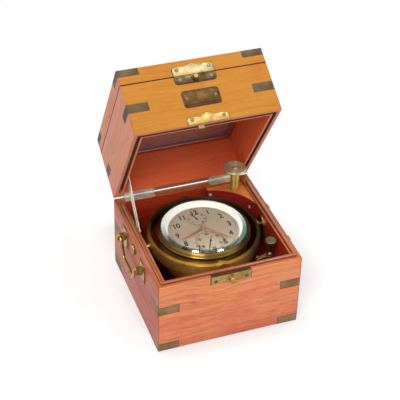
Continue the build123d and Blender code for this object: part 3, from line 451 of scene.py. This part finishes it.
def lathe_lines(tree, place, axis):
    """Fine rings about an upright axis, and the direction in which they run."""
    local, radius = about_axis(tree, place, axis)
    along = vector_calc(tree, "NORMALIZE", vector_calc(tree, "CROSS_PRODUCT", (0, 0, 1), local))
    return noise(tree, joined(tree, radius, split(tree, local)[2]), 3200.0), along


def frame_line(tree, place, half_width, low, high, thickness):
    """A rectangular engraved line on a front face of the shut box."""
    x, _, z = split(tree, place)
    across = calc(tree, "SUBTRACT", calc(tree, "ABSOLUTE", x), half_width)
    from_middle = calc(tree, "ABSOLUTE", calc(tree, "SUBTRACT", z, (low + high) / 2))
    up = calc(tree, "SUBTRACT", from_middle, (high - low) / 2)
    edge = calc(tree, "ABSOLUTE", calc(tree, "MAXIMUM", across, up))
    return calc(tree, "LESS_THAN", edge, thickness / 2)


def brass(
    name, bright, dull, gloss=0.28, cloud_size=60.0, lid=False, metal=1.0,
    lathe=None, grooves=0.25, border=None, painted_far_shade=False,
):
    """A brass finish: two colours, roughness, tarnish, painted shade on the back and right where
    asked, and, where turned, lathe lines.
    """
    material, tree = new_material(name)
    place = place_in(tree, lid)
    values = {"Vector": place, "Cloud size": cloud_size, "Scratch size": 1400.0}
    worn = add(tree, "ShaderNodeGroup", values, node_tree=wear).outputs
    tarnish_and_shade = calc(tree, "MULTIPLY", worn["Tarnish"], 0.7)
    if painted_far_shade:
        # Painted shade: the back and right of the piece darken, away from the lit front left.
        x, y = split(tree, place)[:2]
        toward_shade = calc(tree, "MULTIPLY_ADD", x, 0.65, calc(tree, "MULTIPLY", y, 0.75))
        tarnish_and_shade = calc(tree, "MAXIMUM", tarnish_and_shade, ramp(tree, toward_shade, -0.062, -0.005))
    colour = mixed(tree, "MIX", tarnish_and_shade, tint(bright), tint(dull))
    if border:
        colour = mixed(tree, "MIX", frame_line(tree, place, **border), colour, tint("#1c130a"))
    height, strength, turned = worn["Scratches"], 0.06, {}
    if lathe:
        height, along = lathe_lines(tree, place, lathe)
        strength = grooves
        turned = {"Tangent": along, "Anisotropic": 0.9, "Anisotropic Rotation": 0.25}
    rough = calc(tree, "MULTIPLY_ADD", height, 0.12, gloss - 0.06)
    surface(tree, {
        "Base Color": colour,
        "Metallic": metal,
        "Roughness": calc(tree, "MULTIPLY_ADD", tarnish_and_shade, 0.22, rough),
        "Normal": bump(tree, height, strength, 0.0001),
        **turned,
    })
    return material


def second_finish(piece, material, way, above=0.0):
    """Another material on the faces of a piece that look one way, above some height."""
    piece.data.materials.append(material)
    for face in piece.data.polygons:
        face.material_index = int(face.normal.dot(way) > 0.9 and face.center.z > above)


strap_look = {"gloss": 0.42, "cloud_size": 45.0}
case_strap_brass = brass("case strap brass", "#9a7958", "#6a563b", **strap_look)
lid_strap_brass = brass("lid strap brass", "#574835", "#3b2f23", lid=True, **strap_look)
eased("case_straps", case_strap_brass, width=0.0001)
eased("middle_straps", lid_strap_brass, width=0.0001)
eased("top_straps", lid_strap_brass, width=0.0001)

plate_brass = brass("plate brass", "#bb9558", "#85673a", gloss=0.3, cloud_size=90.0)
# The latch plate's top faces take a darker brass, a painted dark reflection of the open lid.
latch_top_dark_reflection_brass = brass("latch top brass, painted dark reflection", "#6e5c40", "#3a2f22", gloss=0.35, cloud_size=90.0)
latch = eased("latch_plate", plate_brass, width=0.0002)
second_finish(latch, latch_top_dark_reflection_brass, (0, 0, 1))
eased("latch_button", plate_brass, width=0.0002)
lid_look = {"cloud_size": 110.0, "lid": True}
lid_plate_brass = brass("lid plate brass", "#b3955c", "#7a6036", gloss=0.34, **lid_look)
# The keeper plate's darker brass is painted shade, for the shadow under the top plate's lip.
keeper_painted_shade_brass = brass("keeper brass, painted shade", "#5f4d31", "#37291a", gloss=0.36, **lid_look)
top_plate_brass = brass("top plate brass", "#a5936c", "#6d5f44", gloss=0.36, **lid_look)
eased("hook_plate", lid_plate_brass, width=0.0002)
eased("keeper_plate", keeper_painted_shade_brass, width=0.0002)
eased("keeper_button", lid_plate_brass, width=0.0002)
eased("top_latch_plate", top_plate_brass, width=0.0002)

name_border = {"half_width": 0.0219, "low": 0.1328, "high": 0.1512, "thickness": 0.0005}
name_look = {"gloss": 0.4, "cloud_size": 120.0, "lid": True, "border": name_border}
nameplate_brass = brass("nameplate brass", "#5a4327", "#3d2c17", **name_look)
eased("nameplate", nameplate_brass, width=0.00015)

silver = brass("nickel silver", "#e3dccd", "#aaa090", gloss=0.3, cloud_size=80.0, metal=0.8)
rear_leaves = ("hinge_leaves_case", "hinge_leaves_middle")
top_leaves = ("top_hinge_lower_leaves", "top_hinge_upper_leaves")
for name in rear_leaves + top_leaves:
    eased(name, silver, width=0.0002)
pin_steel = brass("pin steel", "#9a9a9a", "#6c6c6c", gloss=0.3)
for name in ("hinge_pins", "top_hinge_pins"):
    eased(name, pin_steel, width=0.0001)


# Screws
# Slotted screws whose heads are let into the plates, each in a seat dark with old polish.
# Geometry nodes cut one head and set it on every marked point, turned to face out and with
# its slot at its own angle.
def new_maker(name, sizes):
    """An empty geometry-nodes group over a mesh, and its named inputs."""
    maker = bpy.data.node_groups.new(name, "GeometryNodeTree")
    for label, kind, start in (("Geometry", "NodeSocketGeometry", None), *sizes):
        socket = maker.interface.new_socket(label, in_out="INPUT", socket_type=kind)
        if start is not None:
            socket.default_value = start
    maker.interface.new_socket("Geometry", in_out="OUTPUT", socket_type="NodeSocketGeometry")
    return maker, maker.nodes.new("NodeGroupInput").outputs


def set_out(tree, points, piece, turn, material):
    """Copies of a piece on every point, made real and given their material."""
    values = {"Points": points, "Instance": piece, "Rotation": turn}
    copies = add(tree, "GeometryNodeInstanceOnPoints", values)
    real = add(tree, "GeometryNodeRealizeInstances", {0: copies.outputs[0]})
    values = {"Geometry": real.outputs[0], "Material": material}
    return add(tree, "GeometryNodeSetMaterial", values).outputs[0]


def mark_value(tree, name, kind):
    """A value that each marked point holds."""
    node = add(tree, "GeometryNodeInputNamedAttribute", {"Name": name}, data_type=kind)
    return node.outputs[0]


def disc(tree, radius, depth):
    """A round disc with enough sides for a screw head."""
    values = {"Vertices": 28, "Radius": radius, "Depth": depth}
    return add(tree, "GeometryNodeMeshCylinder", values).outputs["Mesh"]


MATERIAL = "NodeSocketMaterial"
screw_sizes = (
    ("Head radius", FLOAT, 0.002),
    ("Head height", FLOAT, 0.0005),
    ("Slot width", FLOAT, 0.0005),
    ("Finish", MATERIAL, None),
    ("Seat width", FLOAT, 0.0004),
    ("Seat finish", MATERIAL, None),
)
screw_maker, given = new_maker("Set screws", screw_sizes)
radius, height = given["Head radius"], given["Head height"]
slot_length = calc(screw_maker, "MULTIPLY", radius, 2.6)
slot_size = joined(screw_maker, slot_length, given["Slot width"], height)
slot = add(screw_maker, "GeometryNodeMeshCube", {"Size": slot_size})
to_top = joined(screw_maker, z=calc(screw_maker, "MULTIPLY", height, 0.55))
values = {"Geometry": slot.outputs["Mesh"], "Translation": to_top}
lifted = add(screw_maker, "GeometryNodeTransform", values)
values = {0: disc(screw_maker, radius, height), 1: lifted.outputs[0]}
head = add(screw_maker, "GeometryNodeMeshBoolean", values, operation="DIFFERENCE").outputs[0]
values = {"Vector": mark_value(screw_maker, "facing", "FLOAT_VECTOR")}
aimed = add(screw_maker, "FunctionNodeAlignRotationToVector", values, axis="Z").outputs[0]
values = {0: aimed, 1: joined(screw_maker, z=mark_value(screw_maker, "turn", "FLOAT"))}
spun = add(screw_maker, "FunctionNodeRotateRotation", values, rotation_space="LOCAL").outputs[0]
seat_radius = calc(screw_maker, "ADD", radius, given["Seat width"])
seat = disc(screw_maker, seat_radius, calc(screw_maker, "MULTIPLY", height, 0.4))
both = add(screw_maker, "GeometryNodeJoinGeometry")
for piece, turn, label in ((seat, aimed, "Seat finish"), (head, spun, "Finish")):
    copies = set_out(screw_maker, given["Geometry"], piece, turn, given[label])
    screw_maker.links.new(copies, both.inputs[0])
add(screw_maker, "NodeGroupOutput", {0: both.outputs[0]})


def plain_mesh(thing):
    """The mesh that an object's modifiers or letters come to."""
    bpy.context.view_layer.update()
    graph = bpy.context.evaluated_depsgraph_get()
    return bpy.data.meshes.new_from_object(thing.evaluated_get(graph), depsgraph=graph)


def made_by(maker, name, mesh, settings):
    """Runs a geometry-nodes group over a mesh and keeps its result as a plain mesh object."""
    piece = put(name, mesh)
    modifier = piece.modifiers.new(maker.name, "NODES")
    modifier.node_group = maker
    inputs = [item for item in maker.interface.items_tree if item.in_out == "INPUT"]
    keys = {item.name: item.identifier for item in inputs}
    for label, value in settings.items():
        modifier[keys[label]] = value
    result = plain_mesh(piece)
    piece.modifiers.clear()
    piece.data = result
    return piece


def set_screws(name, body, finish, radius, marks, lid=False):
    """Screws on a body, from marks that are each a place on the shut box and a direction."""
    first_turn, next_turn = 0.7, 1.9
    swing = lid_swing if lid else Matrix.Identity(4)
    points = bpy.data.meshes.new(name)
    points.from_pydata([swing @ Vector(place) for place, way in marks], [], [])
    points.attributes.new("facing", "FLOAT_VECTOR", "POINT")
    points.attributes.new("turn", "FLOAT", "POINT")
    for number, (place, way) in enumerate(marks):
        facing = swing.to_3x3() @ Vector(way).normalized()
        points.attributes["facing"].data[number].vector = facing
        points.attributes["turn"].data[number].value = first_turn + next_turn * number
    screws = made_by(screw_maker, name, points, {
        "Head radius": radius,
        "Head height": 0.0006,
        "Slot width": radius * 0.28,
        "Finish": finish,
        "Seat width": radius * 0.22,
        "Seat finish": polish_and_shadow,
    })
    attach(screws, body)


def pair(spread, height, face=-0.096):
    """Marks for a pair of screws in the face of a front plate."""
    return [((x, face, height), (0, -1, 0)) for x in (-spread, spread)]


polish_and_shadow = specked("old polish and painted shadow", ("#1e0f0a", "#43231a"), 500.0, 0.5)
screw_brass = brass("screw brass", "#857553", "#4d412b", gloss=0.36, cloud_size=400.0)
screw_steel = brass("screw steel", "#d9d4c8", "#a39c8e", gloss=0.18, cloud_size=400.0)
plate_head, handle_head, hinge_head, name_head = 0.0021, 0.0016, 0.0014, 0.0013
set_screws("latch_plate_screws", "case", screw_brass, plate_head, pair(0.0206, 0.098))
marks = pair(0.0204, 0.1128) + pair(0.0202, 0.1684)
set_screws("middle_plate_screws", "middle_tier", screw_brass, plate_head, marks, lid=True)
marks = pair(0.0208, 0.1815)
set_screws("top_plate_screws", "top_lid", screw_brass, plate_head, marks, lid=True)
marks = pair(0.0191, 0.142, face=-0.0958)
set_screws("nameplate_screws", "middle_tier", screw_brass, name_head, marks, lid=True)
handle_plate_face, handle_plate_level = 0.0965, 0.0825
marks = [
    ((side * handle_plate_face, middle + along, handle_plate_level + up), (side, 0, 0))
    for side in (-1, 1)
    for middle in (-0.0305, 0.0415)
    for along in (-0.0072, 0.0072)
    for up in (-0.0112, 0.0112)
]
set_screws("handle_screws", "case", screw_brass, handle_head, marks)
bracket_face, bracket_levels = 0.0800, (0.077, 0.07)
marks = [
    ((side * bracket_face, bowl_axis[1], level), (-side, 0, 0))
    for side in (-1, 1)
    for level in bracket_levels
]
set_screws("bracket_screws", "case", screw_steel, plate_head, marks)
leaf_spots = [(side * x, 0.0895) for side in (-1, 1) for x in (0.045, 0.060, 0.075)]
marks = [((x, y, 0.10582), (0, 0, 1)) for x, y in leaf_spots]
set_screws("lower_hinge_screws", "case", screw_steel, hinge_head, marks)
marks = [((x, y, 0.10648), (0, 0, -1)) for x, y in leaf_spots]
set_screws("upper_hinge_screws", "middle_tier", screw_steel, hinge_head, marks, lid=True)


# Old polish and painted shadow round the fittings
# Dark polish that has gathered over the years where the brass meets the wood: a hair line round
# each corner strap. A thin dark skin behind the plates that stand proud is painted shadow of
# their edges, with polish in it as well.
def finished(name, build):
    """A mesh object from a bmesh, with its faces turned outwards."""
    bmesh.ops.recalc_face_normals(build, faces=build.faces)
    mesh = bpy.data.meshes.new(name)
    build.to_mesh(mesh)
    build.free()
    return put(name, mesh)


def hair_lines(name, body, levels, lid=False):
    """Thin dark frames round the corner straps at some heights of the shut box."""
    proud, sunk, thick, least = 0.00006, 0.0003, 0.0006, 1e-6
    box_top, strap_end = 0.1942, 0.068
    build = bmesh.new()
    legs = [(-outside, -strap_end), (strap_end, outside)]
    faces = ("front", "left", "right", "back")
    frames = [(face, *leg, *level) for face in faces for leg in legs for level in levels]
    for face, a0, a1, z0, z1 in frames:
        sides = (
            (a0 - thick, a1 + thick, z1, z1 + thick),
            (a0 - thick, a1 + thick, z0 - thick, z0),
            (a0 - thick, a0, z0, z1),
            (a1, a1 + thick, z0, z1),
        )
        for p0, p1, q0, q1 in sides:
            p0, p1, q1 = max(p0, -outside), min(p1, outside), min(q1, box_top)
            if p1 - p0 < least or q1 - q0 < least:
                continue
            for vertex in bmesh.ops.create_cube(build, size=1.0)["verts"]:
                along = p0 if vertex.co.x < 0 else p1
                up = q0 if vertex.co.z < 0 else q1
                out = outside - sunk if vertex.co.y < 0 else outside + proud
                if face in ("front", "left"):
                    out = -out
                crosswise = face in ("front", "back")
                vertex.co = (along, out, up) if crosswise else (out, along, up)
    if lid:
        build.transform(lid_swing)
    fit(finished(name, build), polish_and_shadow, body)


foot_straps, case_straps = (0.0018, 0.0122), (0.062, 0.073)
middle_straps, top_straps = (0.1356, 0.1465), (0.1853, 0.1945)
hair_lines("case_polish", "case", [foot_straps, case_straps])
hair_lines("middle_polish", "middle_tier", [middle_straps], lid=True)
hair_lines("top_polish", "top_lid", [top_straps], lid=True)


def dark_edge(node, body, low=0.0, high=1.0, lid=False):
    """A thin dark skin behind a proud plate, a hair larger all round, between two heights:
    painted shadow of the plate's edge, with polish in it.
    """
    margin, back, thick = 0.0009, -0.0951, 0.0001
    mesh = frame["nodes"][node].data.copy()
    if lid:
        mesh.transform(lid_swing.inverted())
    places = [vertex.co.copy() for vertex in mesh.vertices]
    least = Vector(min(place[axis] for place in places) for axis in range(3))
    most = Vector(max(place[axis] for place in places) for axis in range(3))
    centre, size = (least + most) / 2, most - least
    for vertex in mesh.vertices:
        x, y, z = vertex.co - centre
        x *= 1 + 2 * margin / size.x
        z = centre.z + z * (1 + 2 * margin / size.z)
        vertex.co = (centre.x + x, back + thick * y / size.y, min(max(z, low), high))
    if lid:
        mesh.transform(lid_swing)
    build = bmesh.new()
    build.from_mesh(mesh)
    bmesh.ops.remove_doubles(build, verts=build.verts, dist=1e-6)
    build.to_mesh(mesh)
    build.free()
    fit(put(node + "_edge", mesh), polish_and_shadow, body)


case_top, middle_bottom, middle_top, top_bottom = 0.106, 0.1064, 0.1734, 0.1739
dark_edge("latch_plate", "case", high=case_top)
dark_edge("hook_plate", "middle_tier", low=middle_bottom, lid=True)
dark_edge("keeper_plate", "middle_tier", high=middle_top, lid=True)
dark_edge("nameplate", "middle_tier", lid=True)
dark_edge("top_latch_plate", "top_lid", low=top_bottom, lid=True)

# Handles, gimbal bolts and brackets
# Drop handles bent from round brass rod, their eye plates, and the domed caps of the bolts
# that hold the gimbal brackets to the side boards.
handle_brass = brass("handle brass", "#b8955a", "#6c5832", gloss=0.22, cloud_size=70.0)
for side in ("left", "right"):
    eased(f"handle_{side}", handle_brass)
    eased(f"handle_plates_{side}", handle_brass)
eased("bracket_bolts", handle_brass)
eased("gimbal_brackets", plate_brass)

# Gimbal ring and bowl
# A turned brass ring with its lugs and pivot screws, and the bowl that hangs in it with its
# bezel, bevelled glass, silvered cone, dial and movement.
# The ring, bowl and bezel take painted shade on their back and right.
cast_look = {"gloss": 0.42, "cloud_size": 30.0, "lathe": bowl_axis, "metal": 0.8, "painted_far_shade": True}
ring_brass = brass("ring brass", "#bf8d30", "#4c3724", **cast_look)
bowl_brass = brass("bowl brass", "#d9a945", "#5c4526", **cast_look)
bezel_look = {"gloss": 0.24, "cloud_size": 30.0, "lathe": bowl_axis, "grooves": 0.15}
bezel_brass = brass("bezel brass", "#8a6a34", "#4e3a24", painted_far_shade=True, **bezel_look)
eased("gimbal_ring", ring_brass)
eased("ring_pivots", plate_brass, width=0.0002)
eased("bezel", bezel_brass, width=0)
for name in ("bowl_shell", "bowl_pivots", "winding_shutter", "movement_plates"):
    eased(name, bowl_brass, width=0)
for name in ("movement_pillars", "mainspring_barrel", "fusee", "balance", "balance_cock"):
    eased(name, bowl_brass, width=0)

silvered = specked("silvered", ("#f3efe6", "#fffdf8"), 2200.0, 0.35, detail=3.0)
eased("reflector_ring", silvered, width=0)
aged = (35.0, (0.86, 0.84, 0.82, 1))
dial_shades = ("#b29d87", "#c5b29c")
dial_face = specked("dial silvering", dial_shades, 3000.0, 0.5, metal=0.1, patches=aged)
eased("dial", dial_face, width=0)


def clear_glass(name, colour, clarity=1.0, bevel=None):
    """Clear glass, with a tint on a bevel that starts at a radius from the bowl's axis, painted
    on the bevel's front half only, where the dark edge shows through the glass.
    """
    material, tree = new_material(name)
    colour = tint(colour)
    if bevel:
        bevel_start, painted_bevel_colour = bevel
        local, radius = about_axis(tree, place_in(tree), bowl_axis)
        on_bevel = calc(tree, "GREATER_THAN", radius, bevel_start)
        # Painted refraction: the bevel's tint fades in towards the front only.
        painted_front_tint = ramp(tree, split(tree, local)[1], 0.02, -0.02)
        share = calc(tree, "MULTIPLY", on_bevel, painted_front_tint)
        colour = mixed(tree, "MIX", share, colour, tint(painted_bevel_colour))
    glass = add(tree, "ShaderNodeBsdfPrincipled", {
        "Base Color": colour,
        "Roughness": 0.0,
        "IOR": 1.5,
        "Transmission Weight": clarity,
    })
    through = add(tree, "ShaderNodeBsdfTransparent", {"Color": (0.93, 0.95, 0.94, 1)})
    in_shadow = add(tree, "ShaderNodeLightPath").outputs["Is Shadow Ray"]
    add(tree, "ShaderNodeOutputMaterial", {0: blend(tree, in_shadow, glass, through)})
    return material


bowl_glass = clear_glass("bowl glass", "#fbfdfc", bevel=(0.0504, "#6f938b"))
eased("bowl_glass", bowl_glass, width=0)

# Dial print
# Plain black numerals, minute track and two small dials printed on the silvering, each a
# skin a few hundredths of a millimetre thick. Geometry nodes set the marks of each track.
ink = specked("dial ink", ("#0b0a09", "#1b1815"), 900.0, 0.55)
print_skin, line_skin, letter_skin = 0.00003, 0.00002, 0.00001
dial_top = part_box("dial")[1][2]
dial_turn = Matrix.Rotation(math.radians(1.8), 4, "Z")
dial_place = Matrix.Translation((*bowl_axis, dial_top)) @ dial_turn
middle, lower_dial, upper_dial = 0.0, -0.0226, 0.0226

track_sizes = (
    ("Count", "NodeSocketInt", 60),
    ("Radius", FLOAT, 0.045),
    ("Mark width", FLOAT, 0.0003),
    ("Mark length", FLOAT, 0.0015),
    ("Ink", MATERIAL, None),
)
track_maker, given = new_maker("Dial track", track_sizes)
values = {"Vertices": given["Count"], "Radius": given["Radius"]}
round_track = add(track_maker, "GeometryNodeMeshCircle", values).outputs[0]
mark_size = joined(track_maker, given["Mark length"], given["Mark width"], print_skin)
mark = add(track_maker, "GeometryNodeMeshCube", {"Size": mark_size}).outputs["Mesh"]
order = add(track_maker, "GeometryNodeInputIndex").outputs[0]
so_far = calc(track_maker, "MULTIPLY", order, math.tau)
outwards = joined(track_maker, z=calc(track_maker, "DIVIDE", so_far, given["Count"]))
printed = set_out(track_maker, round_track, mark, outwards, given["Ink"])
add(track_maker, "NodeGroupOutput", {0: printed})


def on_dial(piece, centre):
    """Sets a print on the dial's face, about its middle or a small dial's."""
    piece.data.transform(dial_place @ Matrix.Translation((0, centre, 0)))
    fit(piece, ink, "bowl")


def track(name, centre, count, radius, width, length):
    """A ring of equal marks."""
    marks = made_by(track_maker, name, bpy.data.meshes.new(name), {
        "Count": count,
        "Radius": radius,
        "Mark width": width,
        "Mark length": length,
        "Ink": ink,
    })
    on_dial(marks, centre)


def circle_line(name, centre, radius, width):
    """A thin printed circle."""
    steps = 128
    least, most = radius - width / 2, radius + width / 2
    section = ((least, 0), (least, line_skin), (most, line_skin), (most, 0))
    build = bmesh.new()
    rings = []
    for distance, height in section:
        turns = (math.tau * step / steps for step in range(steps))
        places = [(distance * math.cos(t), distance * math.sin(t), height) for t in turns]
        rings.append([build.verts.new(place) for place in places])
    for one, other in zip(rings, rings[1:] + rings[:1]):
        for step in range(steps):
            after = (step + 1) % steps
            build.faces.new((one[step], one[after], other[after], other[step]))
    on_dial(finished(name, build), centre)


def numerals(name, centre, labels, radius, height, bold, upright=False):
    """Numerals round a circle; each label goes with its angle clockwise from the top."""
    figure_share, narrow = 0.73, 0.86
    build = bmesh.new()
    for label, degrees in labels:
        letters = bpy.data.curves.new(name, "FONT")
        letters.body = label
        letters.size = height / figure_share
        letters.align_x = "CENTER"
        letters.align_y = "CENTER"
        letters.extrude = letter_skin
        letters.offset = bold
        letters.resolution_u = 3
        text = put(name, letters)
        mesh = plain_mesh(text)
        bpy.data.objects.remove(text)
        angle = math.radians(degrees)
        place = (radius * math.sin(angle), radius * math.cos(angle), letter_skin)
        spot = Matrix.Translation(place)
        if not upright:
            spot = spot @ Matrix.Rotation(-angle, 4, "Z")
        mesh.transform(spot @ Matrix.Diagonal((narrow, 1.0, 1.0, 1.0)))
        build.from_mesh(mesh)
    bmesh.ops.remove_doubles(build, verts=build.verts, dist=1e-6)
    on_dial(finished(name, build), centre)


hours = [(str(hour), 30.0 * hour) for hour in (12, 1, 2, 3, 4, 5, 7, 8, 9, 10, 11)]
numerals("hour_numerals", middle, hours, 0.035, height=0.0088, bold=0.0004, upright=True)
track("minute_marks", middle, 60, 0.0427, width=0.0005, length=0.0016)
track("five_minute_marks", middle, 12, 0.0430, width=0.0013, length=0.0014)
circle_line("minute_line", middle, 0.0417, width=0.00025)
seconds = [(str(value), 6.0 * value) for value in (10, 20, 30, 40, 50, 60)]
numerals("seconds_numerals", lower_dial, seconds, 0.0132, height=0.0042, bold=0.00015)
track("seconds_marks", lower_dial, 60, 0.0176, width=0.0003, length=0.0013)
track("ten_second_marks", lower_dial, 12, 0.0173, width=0.0006, length=0.0019)
circle_line("seconds_line", lower_dial, 0.0183, width=0.0003)
circle_line("seconds_inner_line", lower_dial, 0.0162, width=0.0002)
first_day, day_step = -120, 45
days = [(str(8 * number), first_day + day_step * number) for number in range(7)]
numerals("reserve_numerals", upper_dial, days, 0.0093, height=0.003, bold=0.0001)
track("reserve_marks", upper_dial, 48, 0.0117, width=0.0003, length=0.001)
circle_line("reserve_line", upper_dial, 0.0124, width=0.0003)

# Hands
# Gilt hour and minute hands pressed on the centre arbor, and dark steel seconds and reserve
# hands, each on an arbor of its own.
gilt = brass("gilt", "#c39a70", "#a07a54", gloss=0.34, cloud_size=300.0, metal=0.4)
dark_steel = brass("dark steel", "#23262c", "#15171b", gloss=0.3)
eased("hour_hand", gilt, width=0)
eased("minute_hand", gilt, width=0)
eased("reserve_hand", dark_steel, width=0)
eased("seconds_hand", dark_steel, width=0)

# Winding key and corner block
# The round-headed brass key stands in a mahogany block that is screwed into the back right
# corner. The block's hollow front is polished deep red.
key_look = {"lathe": (0.0656, 0.067), "metal": 0.7}
key_brass = brass("key brass", "#dfd8ae", "#b9ae80", gloss=0.36, cloud_size=50.0, **key_look)
shank_look = {"gloss": 0.34, "cloud_size": 40.0, **key_look}
shank_brass = brass("key shank brass", "#e2bd62", "#b48c44", **shank_look)
eased("key_head", key_brass, width=0)
eased("key_shank", shank_brass, width=0.0002)
block_wood = varnished_wood("corner block mahogany", ("#9a2c26",) * 4, gloss=0.2)
block_top_wood = varnished_wood("corner block top", ("#cf8040",) * 4)
block = eased("corner_block", block_wood, width=0.0004)
block_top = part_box("corner_block")[1][2]
second_finish(block, block_top_wood, (0, 0, 1), above=block_top - 0.0005)
block_look = {"gloss": 0.3, "cloud_size": 400.0, "metal": 0.3}
block_steel = brass("block screw steel", "#f6f4ee", "#d8d3c8", **block_look)
hollow_axis, hollow_radius = (0.0211, 0.0139), 0.0632
marks = []
for angle, level in ((77.2, 0.0978), (24.9, 0.0924)):
    out = level_way(angle)
    marks.append((Vector((*hollow_axis, level)) + out * hollow_radius, -out))
set_screws("corner_block_screws", "case", block_steel, plate_head, marks)

# Gimbal lock and lid stay
# The lock's knobbed spindle turns in a brass bracket and carries the arm under the ring.
# The slotted nickel-silver stay runs on its two studs and holds the lid open.
lock_brass = brass("lock brass", "#a98a50", "#6f5a34", gloss=0.35)
knob_brass = brass("knob brass", "#746a55", "#4d4537", gloss=0.4)
eased("lock_arm", lock_brass, width=0.0002)
eased("lock_spindle", knob_brass, width=0.0002)
eased("lock_bracket", lock_brass, width=0.0002)
for name in ("stay_arm", "stay_pin", "stay_pivot"):
    eased(name, silver, width=0.0002)

# Middle tier and top lid
# Mitred mahogany frames with red polished insides. Their honey-coloured fronts and pink-brown
# sides are painted light: the fronts painted golden as lit from above, the sides pink with a
# painted sheen. The middle one holds a pane between beads and fillets, the top one a panel.
lid_colours_painted_lit = ("#af7526", "#c5856b", "#c27a5e", "#d8633a")
lid_seam = 0.17365
board_look = {"lid": True, "coarseness": 1.3, "gloss": 0.5, "seam": lid_seam, "coat": 0.0}
board_shine = {"figure": 0.7, "shine": 0.15, "groove_shade": 0.8}
lid_wood = varnished_wood("lid mahogany", lid_colours_painted_lit, **board_look, **board_shine)
eased("middle_walls", lid_wood)
eased("top_walls", lid_wood)

panel_look = {"lid": True, "coarseness": 0.8, "mitred": 0.0}
panel_wood = varnished_wood("panel mahogany", ("#b5713a",) * 4, **panel_look)
panel = eased("top_panel", panel_wood, width=0.0002)
# The panel's underside, seen through the pane, is given a lighter colour as painted light.
underside_painted_light_wood = varnished_wood("panel underside, painted light", ("#d58f70",) * 4, **panel_look)
second_finish(panel, underside_painted_light_wood, lid_swing.to_3x3() @ Vector((0, 0, -1)))

bead_look = {"lid": True, "gloss": 0.24, "coat": 1.0, "shine": 1.0}
bead_wood = varnished_wood("bead mahogany", ("#8f2f28",) * 4, **bead_look)
eased("glazing_beads", bead_wood, width=0.0002)
eased("pane_fillets", bead_wood, width=0.0002)
# The pane is slightly hazy in pale pink, a painted reflection of the pale room.
window_glass_painted_reflection = clear_glass("window glass, painted reflection", "#f8e0dc", clarity=0.88)
eased("window_pane", window_glass_painted_reflection, width=0)
